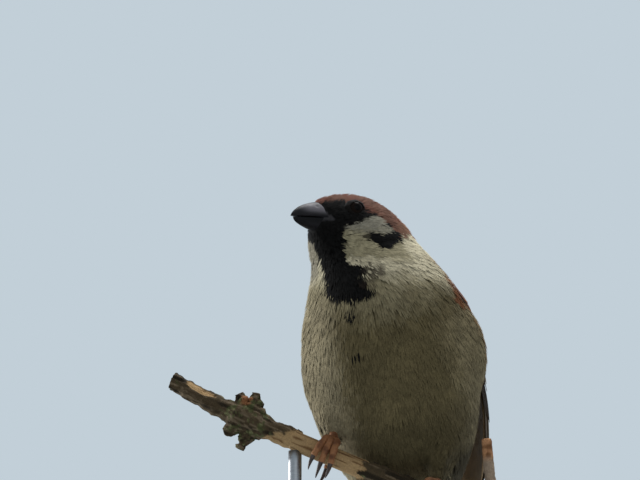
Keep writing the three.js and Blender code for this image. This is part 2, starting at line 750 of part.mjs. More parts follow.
function birdMeshes() {
  const OPENED = 4; // how far the wings' hollows reach beyond the wings
  const wing = wingGeometry(0);
  const wings = { left: wing, right: mirrored(wing) };
  const hollow = wingGeometry(GAP, OPENED);
  const wingHollow = solidOf(hollow).add(solidOf(mirrored(hollow)));
  const tail = solidOf(tailGeometry(0));
  const tailHollow = solidOf(tailGeometry(GAP));

  const FAR = 60;
  const below = fleshBetween(collar, -FAR, -GAP / 2, NETS.neck);
  let head = fleshBetween(collar, GAP / 2, FAR, NETS.head);
  let neck = sliced(below, trunkFrame, SHOULDER_CUT + GAP / 2, FAR);
  let trunk = fleshBetween(trunkFrame, RUMP_CUT + GAP / 2, SHOULDER_CUT - GAP / 2, NETS.trunk);
  let rump = fleshBetween(trunkFrame, -FAR, RUMP_CUT - GAP / 2, NETS.rump);

  const meshes = [];
  for (const which of [1, -1]) {
    meshes.push(meshOf(which > 0 ? "bill_upper" : "bill_lower", billGeometry(which, 0), "bill"));
    head = head.subtract(solidOf(billGeometry(which, GAP)));
  }
  const SIDES = { left: 1, right: -1 };
  for (const [name, side] of Object.entries(SIDES)) {
    head = head.subtract(solidOf(eyeGeometry(side, GAP * 0.5)));
    meshes.push(meshOf(`eye_${name}`, eyeGeometry(side, 0), "eye"));

    const whole = solidOf(wings[name]);
    const { coverts, secondaries } = WING_CUTS;
    for (const [piece, from, to, look] of [
      ["coverts", coverts + GAP / 2, FAR, "back"],
      ["secondaries", secondaries + GAP / 2, coverts - GAP / 2, "flight"],
      ["primaries", -2 * FAR, secondaries - GAP / 2, "flight"],
    ]) {
      meshes.push(meshOf(`wing_${piece}_${name}`, largest(sliced(whole, wingCutFrame, from, to)), look));
    }

    const thigh = thighSolid(side, 0);
    const thighHollow = thighSolid(side, GAP);
    const legHollow = thighHollow.add(legSolid(side, GAP));
    trunk = trunk.subtract(legHollow);
    rump = rump.subtract(thighHollow);
    meshes.push(meshOf(`thigh_${name}`, thigh, "underparts"));
    meshes.push(meshOf(`leg_${name}`, largest(legSolid(side).subtract(thighHollow)), "leg"));
    for (const [toeName, toe] of Object.entries(TOES)) {
      meshes.push(meshOf(`claw_${toeName}_${name}`, clawGeometry(side, toe), "claw"));
    }
  }
  const perchHollow = solidOf(perchGeometry(GAP));
  trunk = largest(trunk.subtract(wingHollow).subtract(tailHollow).subtract(perchHollow));
  neck = largest(neck.subtract(wingHollow));
  rump = largest(rump.subtract(tailHollow).subtract(wingHollow).subtract(perchHollow));
  meshes.push(
    meshOf("head", largest(head), "crown"),
    meshOf("neck", neck, "underparts"),
    meshOf("trunk", trunk, "underparts"),
    meshOf("rump", rump, "back"),
    meshOf("tail", tail, "flight"),
  );
  return meshes;
}

const specimen = new THREE.Group();
specimen.position.copy(TRUNK_CENTRE);
specimen.add(...birdMeshes());
specimen.add(meshOf("perch", perchSolid(), "bark"));

const part = new THREE.Group();
part.add(specimen);
part.add(meshOf("stand_base", standBaseGeometry(), "base"));
part.add(meshOf("stand_rod", standRodSolid(), "rod"));

export default part;
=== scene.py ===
"""Looks of a life-size Eurasian tree sparrow (Passer montanus) on a cut branch with a display stand.

One skin stands for the flesh nodes, and feathers of solid mesh lie over it. Lengths are in
millimetres until a mesh is made, and then in metres. The bird's trunk faces -Y, its left is +X.
"""

import math

import bpy
import numpy as np
from mathutils import Matrix, Vector


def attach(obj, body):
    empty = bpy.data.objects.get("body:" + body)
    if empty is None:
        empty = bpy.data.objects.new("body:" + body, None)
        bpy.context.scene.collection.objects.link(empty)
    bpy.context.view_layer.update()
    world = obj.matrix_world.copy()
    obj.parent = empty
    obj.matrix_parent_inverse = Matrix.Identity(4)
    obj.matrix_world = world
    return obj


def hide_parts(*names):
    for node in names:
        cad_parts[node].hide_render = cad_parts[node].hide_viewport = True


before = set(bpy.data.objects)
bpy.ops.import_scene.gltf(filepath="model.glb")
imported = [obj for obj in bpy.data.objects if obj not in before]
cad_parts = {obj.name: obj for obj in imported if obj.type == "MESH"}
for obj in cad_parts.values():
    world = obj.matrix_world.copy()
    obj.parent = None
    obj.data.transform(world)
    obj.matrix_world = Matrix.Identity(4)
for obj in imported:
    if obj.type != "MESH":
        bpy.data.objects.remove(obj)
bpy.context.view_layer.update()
rng = np.random.default_rng(11)

MM = 0.001

# ---- small tools


def smooth(x, low, high):
    """0 at low, 1 at high, with a smooth step between; low may be the larger."""
    t = np.clip((x - low) / (high - low), 0, 1)
    return t * t * (3 - 2 * t)


def bell(x, wide):
    """1 at x = 0, falling away within the given width."""
    return np.exp(-((x / wide) ** 2))


def turns(count):
    """Angles spread evenly round a circle."""
    return np.linspace(0, 2 * np.pi, count, endpoint=False)


def mix(a, b, t):
    return a + (b - a) * t


def unit(v):
    return v / np.maximum(np.linalg.norm(v, axis=-1, keepdims=True), 1e-9)


def magnitude(v):
    return np.linalg.norm(v, axis=-1)


def squared_to(v, n):
    """Vectors v made square to the unit vectors n."""
    return v - np.sum(v * n, -1, keepdims=True) * n


def rgb(code):
    """A written sRGB colour as the linear one that a shader takes."""
    c = np.array([int(code[i : i + 2], 16) for i in (1, 3, 5)]) / 255
    return np.where(c < 0.04045, c / 12.92, ((c + 0.055) / 1.055) ** 2.4)


def corner_value(i, seed):
    """A number from -1 to 1 for each lattice corner in i."""
    h = i[..., 0] * 374761393 + i[..., 1] * 668265263 + i[..., 2] * 974634777 + seed * 1274126177
    h = (h ^ (h >> 13)) * 1274126177
    return ((h ^ (h >> 16)) & 0xFFFF) / 32767.5 - 1


def noise(p, size, seed=0):
    """Smooth noise from -1 to 1 at points p, with lumps of about the given size."""
    q = p / size + 1000
    base = np.floor(q).astype(np.int64)
    f = q - base
    f = f * f * (3 - 2 * f)
    total = 0
    for bits in range(8):
        corner = np.array([bits & 1, (bits >> 1) & 1, bits >> 2])
        weight = np.prod(np.where(corner, f, 1 - f), -1)
        total = total + weight * corner_value(base + corner, seed)
    return total


def through(stops):
    """A smooth function through stops of (place, value)."""
    x, y = np.array(stops, float).T
    slope = np.gradient(y, x)

    def curve(t):
        t = np.clip(t, x[0], x[-1])
        i = np.clip(np.searchsorted(x, t, side="right") - 1, 0, len(x) - 2)
        span = x[i + 1] - x[i]
        u = (t - x[i]) / span
        rise = y[i + 1] - y[i]
        bend = u * (1 - u) * ((1 - u) * (slope[i] * span - rise) - u * (slope[i + 1] * span - rise))
        return y[i] + rise * u + bend

    return curve


def spline(points, count):
    """Evenly spread points and headings on a smooth curve through the given points."""
    points = np.array(points, float)
    reach = np.concatenate([[0], np.cumsum(magnitude(np.diff(points, axis=0)))])
    fine = np.linspace(0, reach[-1], 400)
    track = np.stack([through(np.stack([reach, c], 1))(fine) for c in points.T], -1)
    run = np.concatenate([[0], np.cumsum(magnitude(np.diff(track, axis=0)))])
    at = np.linspace(0, run[-1], count)
    placed = np.stack([np.interp(at, run, c) for c in track.T], -1)
    return placed, unit(np.gradient(placed, axis=0))


class Frame:
    """Directions forward, left and up at an origin, after turns in degrees.

    Yaw turns to the bird's right, pitch lifts the front, and roll leans to the bird's left.
    """

    def __init__(self, origin, yaw, pitch, roll=0):
        a, b, c = math.radians(-yaw), math.radians(-pitch), math.radians(roll)
        turn = np.array([[math.cos(a), -math.sin(a), 0], [math.sin(a), math.cos(a), 0], [0, 0, 1]])
        tilt = np.array([[1, 0, 0], [0, math.cos(b), -math.sin(b)], [0, math.sin(b), math.cos(b)]])
        lean = np.array([[math.cos(c), 0, math.sin(c)], [0, 1, 0], [-math.sin(c), 0, math.cos(c)]])
        plain = np.array([[0, 1, 0], [-1, 0, 0], [0, 0, 1]])
        self.origin = np.array(origin, float)
        self.forward, self.left, self.up = (turn @ tilt @ lean @ plain).T

    def at(self, forward, left, up):
        forward, left, up = (np.asarray(v, float)[..., None] for v in (forward, left, up))
        return self.origin + forward * self.forward + left * self.left + up * self.up

    def local(self, p):
        d = p - self.origin
        return np.stack([d @ self.forward, d @ self.left, d @ self.up], -1)


# ---- the bird's frames and outline

CENTRE = np.array([0.0, -2.0, 137.0])  # the trunk's middle
TRUNK = Frame(CENTRE, 0, 56)
HEAD = Frame(CENTRE + [-4.9, -16.7, 36.3], 29, -2, 7)
TAIL = Frame(TRUNK.at(-27, 0, 5.5), 0, 60)
COLLAR = HEAD.at(-1, 0, -11.3)  # a point of the plane between head and neck
COLLAR_UP = unit(np.array([-0.12, -0.42, 0.9]))
HALF_WIDE, HALF_DEEP = 22.7, 20.75

EYE_RADIUS = 2.5
EYE_PLACE = np.array([3.8, 5.9, 2.5])  # forward, sideways and up from the head's origin
EYE_OUT = unit(np.array([0.3, 1.0, 0.1]))  # where an eye looks, the same way
BILL_PLACE = HEAD.at(11.5, 0, -0.4)


def blended(soft, *values):
    """Distances to several forms as the distance to one, with the creases between them filled."""
    out = values[0]
    for value in values[1:]:
        near = np.maximum(soft - np.abs(out - value), 0) / soft
        out = np.minimum(out, value) - near * near * soft / 4
    return out


def ellipsoid(p, where, centre, halves):
    q = (where.local(p) - centre) / np.array(halves, float)
    far = magnitude(q)
    slope = np.maximum(magnitude(q / halves), 1e-6)
    return far * (far - 1) / slope


def from_line(p, start, end):
    """How far along the line from start to end each place is, as a share, and how far from it."""
    axis = end - start
    t = np.clip((p - start) @ axis / (axis @ axis), 0, 1)
    return t, magnitude(p - start - t[..., None] * axis)


def round_cone(p, start, end, start_radius, end_radius):
    t, far = from_line(p, start, end)
    return far - mix(start_radius, end_radius, t)


def flattened(p, share, form):
    """A form pressed towards the level of the tail's origin."""
    q = TAIL.local(p)
    return form(TAIL.at(q[..., 0], q[..., 1], q[..., 2] / share)) * share


def trunk_field(p):
    return blended(
        10,
        ellipsoid(p, TRUNK, (8.7, 0, 1.3), (23.9, HALF_WIDE * 0.95, HALF_DEEP * 0.93)),
        ellipsoid(p, TRUNK, (-4.8, 0, -1), (24.4, HALF_WIDE, HALF_DEEP)),
        ellipsoid(p, TRUNK, (-18.7, 0, -3), (19.7, HALF_WIDE * 0.73, HALF_DEEP * 0.74)),
    )


FLANK_MIDDLE, FLANK_HALVES = (2.6, 17.1, 4.8), (12, 8.4, 8.0)  # in trunk terms, on both sides


def flank_field(p):
    """Loose feathers at the breast's sides, which lie over the wing's lower edge."""
    ahead, aside, up = FLANK_MIDDLE
    return np.minimum(*(ellipsoid(p, TRUNK, (ahead, side * aside, up), FLANK_HALVES) for side in (1, -1)))


def rump_field(p):
    def upper(q):
        return round_cone(q, TRUNK.at(-16, 0, 3), TAIL.at(-19, 0, 0.5), 15, 5)

    def under(q):
        return round_cone(q, TRUNK.at(-20, 0, -3), TAIL.at(-26, 0, -2.5), 13, 4)

    return blended(6, flattened(p, 0.85, upper), flattened(p, 0.75, under))


def neck_field(p):
    return blended(
        6,
        round_cone(p, TRUNK.at(17, 2.3, 1), HEAD.at(-6.4, 2.2, -8.1), 16, 11.7),
        round_cone(p, TRUNK.at(15, -1, -5), HEAD.at(3, -0.8, -7.8), 13.2, 6.9),
    )


def head_field(p):
    return blended(
        4,
        ellipsoid(p, HEAD, (-0.8, 0, -1.7), (10.1, 9.5, 9.9)),
        ellipsoid(p, HEAD, (-3, 0, -5.4), (8.6, 9.8, 6.8)),
        ellipsoid(p, HEAD, (5.4, 0, 0.1), (9, 4.6, 6.6)),
    )


# ---- where perch and legs are

PERCH_WOOD_RADIUS = 2.6
BARK_THICKNESS = 0.35
PERCH_START, PERCH_END = -46, 60  # the cut ends, measured along the perch from the right foot
BARK_EDGES = (-9.5, 11)  # between them the wood is bare
KNOT_ALONG = -23
FEET_APART = 29
RIGHT_GRIP = CENTRE + [-13, -14, -24.6]
PERCH_YAW = math.radians(14)
PERCH_DROP = math.tan(math.radians(24.5))
PERCH_ALONG = unit(np.array([math.cos(PERCH_YAW), math.sin(PERCH_YAW), -PERCH_DROP]))
PERCH_UP = unit(np.array([0, 0, 1.0]) - PERCH_ALONG[2] * PERCH_ALONG)
PERCH_FRONT = np.cross(PERCH_ALONG, PERCH_UP)


def perch_rise(along):
    """How far the perch bends up from its straight line: up at its start, down towards its end."""
    return 0.0022 * np.maximum(0, -along - 15) ** 2 - 0.001 * np.maximum(0, along - 10) ** 2


def perch_point(along, front, up):
    """A place by its length along the perch from the right foot, in front of the middle line and above it."""
    along, front, up = (np.asarray(v, float)[..., None] for v in (along, front, up + perch_rise(along)))
    return RIGHT_GRIP + along * PERCH_ALONG + front * PERCH_FRONT + up * PERCH_UP


def has_bark(along):
    return (along < BARK_EDGES[0]) | (along > BARK_EDGES[1])


def perch_radius(along):
    """The perch's radius with its bark and the swelling at its knot."""
    knot = 1.5 * bell(along - KNOT_ALONG, 4.8)
    uneven = has_bark(along) * (BARK_THICKNESS + 0.14 * np.sin(along * 0.9) + 0.1 * np.sin(along * 2.1))
    return PERCH_WOOD_RADIUS + uneven + knot - 0.018 * np.maximum(0, -along - 10)


def perch_local(p):
    """Places as lengths along the perch's straight line, in front of it and above it."""
    d = p - RIGHT_GRIP
    return d @ PERCH_ALONG, d @ PERCH_FRONT, d @ PERCH_UP


def perch_distance(p):
    along, front, up = perch_local(p)
    return np.hypot(front, up - perch_rise(along)) - perch_radius(along)


TARSUS_LENGTH, TARSUS_RADIUS, TOE_RADIUS = 17, 0.95, 1.0
HOLD = 0.35  # clearance between toes and perch
TOES = {
    "inner": {"root": 1, "tip": 2.9, "wrap": 122, "claw": 4},
    "middle": {"root": 0, "tip": 0.4, "wrap": 128, "claw": 4.6},
    "outer": {"root": -1, "tip": -2, "wrap": 118, "claw": 4},
    "hallux": {"root": 0.2, "tip": 0.8, "wrap": -128, "claw": 5.2},
}
SIDES = {"left": 1, "right": -1}


def grip_along(side):
    return 0 if side < 0 else FEET_APART


def around_perch(side, shift, angle, out):
    """A place round the perch under a foot: along it, degrees from its top to the front, and out from it."""
    along = grip_along(side)
    radius = max(perch_radius(np.array([along - 3, along, along + 3]))) + HOLD + out
    turn = math.radians(angle)
    return perch_point(along, 0, 0) + PERCH_ALONG * shift + radius * (
        PERCH_UP * math.cos(turn) + PERCH_FRONT * math.sin(turn)
    )


def ball_of(side):
    return around_perch(side, 0, -14, 1.5)


TARSUS_LEANS = {-1: (-3.0, 6, 15), 1: (-2.0, 7, 15.5)}
CUFFS = {-1: 0.76, 1: 0.88}  # where the feathers end, as a share of the way from ankle to foot
THIGH_RADII = (6.2, 2.2)  # above and at the cuff


def ankle_of(side):
    return ball_of(side) + unit(np.array(TARSUS_LEANS[side])) * TARSUS_LENGTH


def thigh_ends(side):
    ankle = ankle_of(side)
    cuff = mix(ankle, ball_of(side), CUFFS[side])
    return mix(ankle, cuff, -0.3), cuff


def thigh_field(p, side):
    t, far = from_line(p, *thigh_ends(side))
    return far - mix(*THIGH_RADII, smooth(t, 0.2, 1))


def cuff_distance(p):
    """Distance from where the nearer leg comes out of its feathers."""
    return np.minimum(*(magnitude(p - thigh_ends(side)[1]) for side in (1, -1)))


# ---- the closed wing's shell

WING_BEND, WING_LENGTH = 19.5, 69  # along the trunk's axis
WING_UPPER = through([(0, 60), (0.2, 42), (0.5, 25), (0.8, 19), (1, 17)])  # degrees from the back
WING_LOWER = through([(0, 74), (0.1, 74), (0.26, 71), (0.42, 82), (0.6, 90), (0.8, 86), (0.9, 66), (1, 38)])
SHELL_WIDE, SHELL_DEEP, SHELL_LONG, SHELL_MIDDLE = 23.5, 22.15, 50, -4
SHELL_RISE = 1.2  # its axis above the trunk's


def shell_taper(along):
    return np.sqrt(np.maximum(1 - ((along - SHELL_MIDDLE) / SHELL_LONG) ** 2, 0.02))


def wing_point(side, t, share, out):
    """A point of the wing: t from bend to tip, share from upper to lower edge, out from the shell."""
    along = WING_BEND - t * WING_LENGTH
    angle = np.radians(mix(WING_UPPER(t), WING_LOWER(t), share))
    taper = shell_taper(along)
    left = side * (SHELL_WIDE * taper + out) * np.sin(angle)
    return TRUNK.at(along, left, (SHELL_DEEP * taper + out) * np.cos(angle) + SHELL_RISE)


def back_angle(p):
    """Degrees round the trunk from the middle of the back: 90 at the side, 180 under the belly."""
    q = TRUNK.local(p)
    return np.degrees(np.arctan2(np.abs(q[..., 1]), q[..., 2] - SHELL_RISE))


def wing_cover(p):
    """1 where a closed wing lies over the body, 0 away from it."""
    t = (WING_BEND - TRUNK.local(p)[..., 0]) / WING_LENGTH
    upper, lower = WING_UPPER(t), WING_LOWER(t)
    share = (back_angle(p) - upper) / (lower - upper)
    across = smooth(share, 0.02, 0.2) * smooth(share, 0.98, 0.84)
    return across * smooth(t, 0.02, 0.1) * smooth(t, 1.02, 0.95)


WING_SINK = 2.0  # how much lower the coat lies under a wing
FLANK_SINK = 6  # and how much lower a flank's tuft does
PERCH_ROOM = 0.5  # left free round the perch


def coat_field(p):
    """Distance to the outline of the coat, which goes round the perch and lies low under the wings."""
    body = blended(5, blended(7, blended(9, trunk_field(p), neck_field(p)), head_field(p)), rump_field(p))
    body = blended(3, body, thigh_field(p, -1), thigh_field(p, 1))
    cover = wing_cover(p)
    body = blended(4, body + WING_SINK * cover, flank_field(p) + FLANK_SINK * cover)
    return -blended(1.6, -body, perch_distance(p) - PERCH_ROOM)


def slope_of(field, p, step=0.08):
    """A field's values and slopes at places, from small steps."""
    here = field(p)
    slopes = [field(p + step * axis) - here for axis in np.eye(3)]
    return here, np.stack(slopes, -1) / step


def onto_level(p, level):
    """Moves points to a level above or below the coat's outline, and gives the normals there too."""
    for _ in range(2):
        here, slope = slope_of(coat_field, p)
        share = (here - level) / np.maximum(np.sum(slope * slope, -1), 0.3)
        p = p - np.clip(share, -3, 3)[..., None] * slope
    return p, unit(slope)


def below_collar(p):
    """How far a point is down from the plane between head and neck."""
    return -(p - COLLAR) @ COLLAR_UP


def eye_place(side):
    ahead, aside, up = EYE_PLACE
    return HEAD.at(ahead, side * aside, up)


def eye_direction(side):
    ahead, aside, up = EYE_OUT
    return ahead * HEAD.forward + side * aside * HEAD.left + up * HEAD.up


def coat_depth(p):
    """Thickness of the coat: how far the skin lies inside its outline."""
    to_bill = magnitude(p - BILL_PLACE)
    head = mix(0.25, 0.9, smooth(to_bill, 3.5, 9))
    body = mix(head, 2.0, smooth(below_collar(p), -1, 10))
    return mix(0.7, body, smooth(cuff_distance(p), 2, 9))


SOCKET_ROOM = 0.12  # between an eye and its socket


def skin_field(p):
    sockets = [EYE_RADIUS + SOCKET_ROOM - magnitude(p - eye_place(side)) for side in (1, -1)]
    return np.maximum(coat_field(p) + coat_depth(p), np.maximum(*sockets))


# ---- meshes


def surface_net(field, low, high, cell):
    """Points and quads of the surface where a field is zero, facing outwards."""
    low = np.array(low, float)
    counts = np.ceil((np.array(high) - low) / cell).astype(int) + 1
    axes = [low[i] + cell * np.arange(counts[i]) for i in range(3)]
    grid = np.stack(np.meshgrid(*axes, indexing="ij"), -1).reshape(-1, 3)
    parts = np.array_split(grid, 12)  # so that the field needs less memory at a time
    values = np.concatenate([field(part) for part in parts]).reshape(counts)
    inside = values < 0
    cells = counts - 1
    total = np.zeros((*cells, 3))
    number = np.zeros(cells)

    def corner(array, offset):
        return array[tuple(slice(o, o + n) for o, n in zip(offset, cells))]

    for axis in range(3):
        for pair in range(4):
            start = np.zeros(3, int)
            start[(axis + 1) % 3], start[(axis + 2) % 3] = pair & 1, pair >> 1
            end = start + np.eye(3, dtype=int)[axis]
            a, b = corner(values, start), corner(values, end)
            crossed = corner(inside, start) != corner(inside, end)
            share = np.where(crossed, a / np.where(crossed, a - b, 1), 0)
            total += crossed[..., None] * start
            total[..., axis] += share
            number += crossed
    used = number > 0
    index = np.full(cells, -1)
    index[used] = np.arange(used.sum())
    points = low + (np.argwhere(used) + total[used] / number[used][:, None]) * cell

    quads = []
    for axis in range(3):
        u, v = np.eye(3, dtype=int)[[(axis + 1) % 3, (axis + 2) % 3]]
        step = np.eye(3, dtype=int)[axis]
        near = np.argwhere(np.ones(counts - step, bool))
        near = near[np.all((near > 0) & (near < cells), 1)]
        here = inside[tuple(near.T)]
        there = inside[tuple((near + step).T)]
        for wanted, order in ((True, (0, 1, 2, 3)), (False, (3, 2, 1, 0))):
            home = near[(here != there) & (here == wanted)]
            ring = [home - u - v, home - v, home, home - u]
            quads.append(np.stack([index[tuple(ring[k].T)] for k in order], 1))
    return points, np.concatenate(quads)


def ring_faces(rows, columns, looped=False):
    """Quads between rings of points laid row by row; looped joins the last ring to the first."""
    r, c = np.meshgrid(np.arange(rows if looped else rows - 1), np.arange(columns), indexing="ij")
    here, after, beside = r * columns, (r + 1) % rows * columns, (c + 1) % columns
    return np.stack([here + c, here + beside, after + beside, after + c], -1).reshape(-1, 4)


def tube(rings):
    """A closed tube through rings of equally many points, with a hub over each end."""
    rows, sides = rings.shape[:2]
    hubs = np.stack([rings[0].mean(0), rings[-1].mean(0)])
    points = np.concatenate([rings.reshape(-1, 3), hubs])
    k = np.arange(sides)
    after = (k + 1) % sides
    last = (rows - 1) * sides
    start_cap = np.stack([np.full(sides, rows * sides), after, k], 1)
    end_cap = np.stack([np.full(sides, rows * sides + 1), last + k, last + after], 1)
    return outwards(points, [ring_faces(rows, sides), np.concatenate([start_cap, end_cap])])


def outwards(points, faces):
    """Turns a closed mesh's faces round if they face inwards."""
    volume = 0
    for group in faces:
        a = points[group[:, 0]]
        for i in range(1, group.shape[1] - 1):
            volume += np.sum(a * np.cross(points[group[:, i]], points[group[:, i + 1]]))
    return points, faces if volume > 0 else [group[:, ::-1] for group in faces]


def round_tube(centres, headings, radii, sides, up=(0, 0, 1)):
    """A tube along a curve, whose rings start square to the curve and to up."""
    across = unit(np.cross(headings, np.array(up, float)))
    above = np.cross(across, headings)
    angle = turns(sides)[:, None]
    ring = np.cos(angle) * across[:, None] + np.sin(angle) * above[:, None]
    return tube(centres[:, None] + radii[:, None, None] * ring)


def ball(rows, sides, pole):
    """Unit directions in rings round Z, from one pole to the other; pole is the angle left open there."""
    lat = np.linspace(pole, np.pi - pole, rows)[:, None]
    lon = turns(sides)[None]
    level = np.cos(lat) + 0 * lon
    return np.stack([np.sin(lat) * np.cos(lon), np.sin(lat) * np.sin(lon), level], -1)


def joined(parts):
    """Several (points, face groups) as one."""
    points, faces, start = [], [], 0
    for part_points, part_faces in parts:
        points.append(part_points)
        faces += [group + start for group in part_faces]
        start += len(part_points)
    return np.concatenate(points), faces


def add_object(name, data):
    thing = bpy.data.objects.new(name, data)
    bpy.context.scene.collection.objects.link(thing)
    return thing


def make_object(name, points, faces, material, slot, tint=None, maps=None, normals=None):
    """A smooth-shaded mesh object from points in mm, which rides on the root body."""
    mesh = bpy.data.meshes.new(name)
    sizes = np.concatenate([np.full(len(group), group.shape[1]) for group in faces])
    corners = np.concatenate([group.ravel() for group in faces]).astype(np.int32)
    mesh.vertices.add(len(points))
    mesh.vertices.foreach_set("co", (points * MM).astype(np.float32).ravel())
    mesh.loops.add(len(corners))
    mesh.loops.foreach_set("vertex_index", corners)
    mesh.polygons.add(len(sizes))
    mesh.polygons.foreach_set("loop_start", np.concatenate([[0], np.cumsum(sizes)[:-1]]).astype(np.int32))
    mesh.polygons.foreach_set("use_smooth", np.ones(len(sizes), bool))
    mesh.update(calc_edges=True)
    if tint is not None:
        layer = mesh.color_attributes.new("tint", "FLOAT_COLOR", "POINT")
        layer.data.foreach_set("color", np.c_[tint, np.ones(len(points))].astype(np.float32).ravel())
    for key, uv in (maps or {}).items():
        layer = mesh.uv_layers.new(name=key)
        layer.data.foreach_set("uv", uv[corners].astype(np.float32).ravel())
    if normals is not None:
        mesh.normals_split_custom_set_from_vertices(unit(normals))
    mesh.materials.append(material)
    piece = add_object(name, mesh)
    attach(piece, "root")
    return piece


# ---- materials


class Nodes:
    """The node tree of a material or world, with short calls that add nodes and link them."""

    def __init__(self, owner):
        owner.use_nodes = True
        self.owner, self.tree = owner, owner.node_tree

    def add(self, kind, inputs=None, out=0, **settings):
        """Adds a node and gives one of its outputs."""
        node = self.tree.nodes.new(kind)
        for key, value in settings.items():
            setattr(node, key, value)
        self.feed(node, inputs or {})
        return node.outputs[out] if node.outputs else None

    def feed(self, node, inputs):
        for key, value in inputs.items():
            if isinstance(value, bpy.types.NodeSocket):
                self.tree.links.new(value, node.inputs[key])
            else:
                node.inputs[key].default_value = value

    def math(self, operation, *values):
        return self.add("ShaderNodeMath", dict(enumerate(values)), operation=operation)

    def place(self, scale):
        """The object's own coordinates, times a scale for each axis."""
        own = self.add("ShaderNodeTexCoord", out="Object")
        return self.add("ShaderNodeMapping", {"Vector": own, "Scale": scale})

    def noise(self, size, detail=4.0, roughness=0.6, stretch=(1, 1, 1)):
        """Noise whose lumps are about size mm, stretched along the object's axes."""
        inputs = {"Vector": self.place([1 / (size * MM * s) for s in stretch])}
        inputs |= {"Scale": 1.0, "Detail": detail, "Roughness": roughness}
        return self.add("ShaderNodeTexNoise", inputs, "Fac")

    def span(self, value, low, high, to_low, to_high):
        inputs = {"Value": value, "From Min": low, "From Max": high, "To Min": to_low, "To Max": to_high}
        return self.add("ShaderNodeMapRange", inputs)

    def uneven(self, size, low, high):
        """Values between low and high, in lumps of about size mm."""
        return self.span(self.noise(size), 0.3, 0.7, low, high)

    def blend(self, factor, a, b, kind="MIX"):
        """Two colours mixed, each a socket or a written sRGB code."""
        a, b = ((*rgb(c), 1.0) if isinstance(c, str) else c for c in (a, b))
        return self.add("ShaderNodeMix", {0: factor, 6: a, 7: b}, 2, data_type="RGBA", blend_type=kind)

    def shaded(self, colour, value):
        """A colour made lighter or darker by a value round 1."""
        grey = self.add("ShaderNodeCombineColor", dict.fromkeys((0, 1, 2), value))
        return self.blend(1.0, colour, grey, "MULTIPLY")

    def tint(self):
        return self.add("ShaderNodeVertexColor", out="Color", layer_name="tint")

    def bump(self, height, strength, distance):
        inputs = {"Height": height, "Strength": strength, "Distance": distance * MM}
        return self.add("ShaderNodeBump", inputs)

    def finish(self, colour, roughness, normal=None, **constants):
        """Feeds the surface's shader and gives the material."""
        inputs = {key.replace("_", " "): value for key, value in constants.items()}
        inputs |= {"Base Color": colour, "Roughness": roughness}
        if normal is not None:
            inputs["Normal"] = normal
        self.feed(self.tree.nodes["Principled BSDF"], inputs)
        return self.owner


def material_nodes(name):
    return Nodes(bpy.data.materials.new(name))


def plumage_material():
    """Feathers: the mesh's own tint, made uneven, with a dull surface."""
    n = material_nodes("plumage")
    colour = n.shaded(n.tint(), n.uneven(0.5, 0.84, 1.16))
    dull = {"Specular_IOR_Level": 0.12, "Sheen_Weight": 0.03, "Sheen_Roughness": 0.5}
    return n.finish(colour, n.uneven(1.5, 0.78, 0.92), **dull)


BARB_LINES = 420.0  # radians of the barbs' wave along a vane


def vane_material():
    """Wing and tail feathers: tint with fine oblique barbs from the vane's own map."""
    n = material_nodes("vanes")
    apart = {0: n.add("ShaderNodeUVMap", uv_map="vane")}
    across, along = (n.add("ShaderNodeSeparateXYZ", apart, out) for out in (0, 1))
    aside = n.math("ABSOLUTE", n.math("SUBTRACT", across, 0.5))
    slant = n.math("MULTIPLY_ADD", aside, -0.5, along)
    wave = n.math("SINE", n.math("MULTIPLY", slant, BARB_LINES))
    both = n.math("MULTIPLY", n.span(wave, -1.0, 1.0, 0.9, 1.07), n.uneven(1.2, 0.9, 1.1))
    rough = n.uneven(2.0, 0.6, 0.75)
    return n.finish(n.shaded(n.tint(), both), rough, n.bump(wave, 0.25, 0.05), Specular_IOR_Level=0.25)


def bill_material():
    """Horn: dark, a little glossy, with faint growth lines along it."""
    n = material_nodes("bill_horn")
    uneven = n.noise(1.1)
    colour = n.blend(n.span(uneven, 0.35, 0.65, 0.0, 0.12), n.tint(), "#3a383d")
    bump = n.bump(n.noise(0.25, stretch=(1, 3, 1)), 0.15, 0.06)
    return n.finish(colour, n.span(uneven, 0.3, 0.7, 0.4, 0.55), bump, Specular_IOR_Level=0.13)


def eye_material():
    """A wet eye, dark brown with faint specks."""
    n = material_nodes("eye_wet")
    speck = n.blend(n.span(n.noise(0.3), 0.45, 0.7, 0.0, 0.25), n.tint(), "#21150e")
    return n.finish(speck, n.uneven(2.0, 0.09, 0.14), Specular_IOR_Level=0.05)


def leg_material():
    """Scaly skin: plates in the mesh, and a fine pebbled bump between them."""
    n = material_nodes("leg_scales")
    colour = n.blend(n.span(n.noise(1.6), 0.35, 0.65, 0.0, 0.7), n.tint(), "#9a6a48")
    pebbles = n.add("ShaderNodeTexVoronoi", {"Scale": 1.0, "Vector": n.place([2200] * 3)}, "Distance")
    return n.finish(colour, n.uneven(0.8, 0.5, 0.7), n.bump(pebbles, 0.3, 0.08), Specular_IOR_Level=0.2)


def claw_material():
    """Horn, dark brown with a satin gloss."""
    n = material_nodes("claw_horn")
    colour = n.blend(n.span(n.noise(0.9), 0.35, 0.65, 0.0, 1.0), "#2b211c", "#4a3930")
    return n.finish(colour, n.uneven(0.5, 0.3, 0.45), n.bump(n.noise(0.2), 0.1, 0.04))


def branch_material():
    """Bark and bare wood: the mesh's tint, made uneven by fine fibres and grit."""
    n = material_nodes("branch_bark")
    grit = n.noise(0.4, detail=8.0, roughness=0.7)
    colour = n.shaded(n.tint(), n.span(grit, 0.3, 0.7, 0.7, 1.25))
    return n.finish(colour, n.uneven(2.0, 0.8, 0.95), n.bump(grit, 0.6, 0.3), Specular_IOR_Level=0.15)


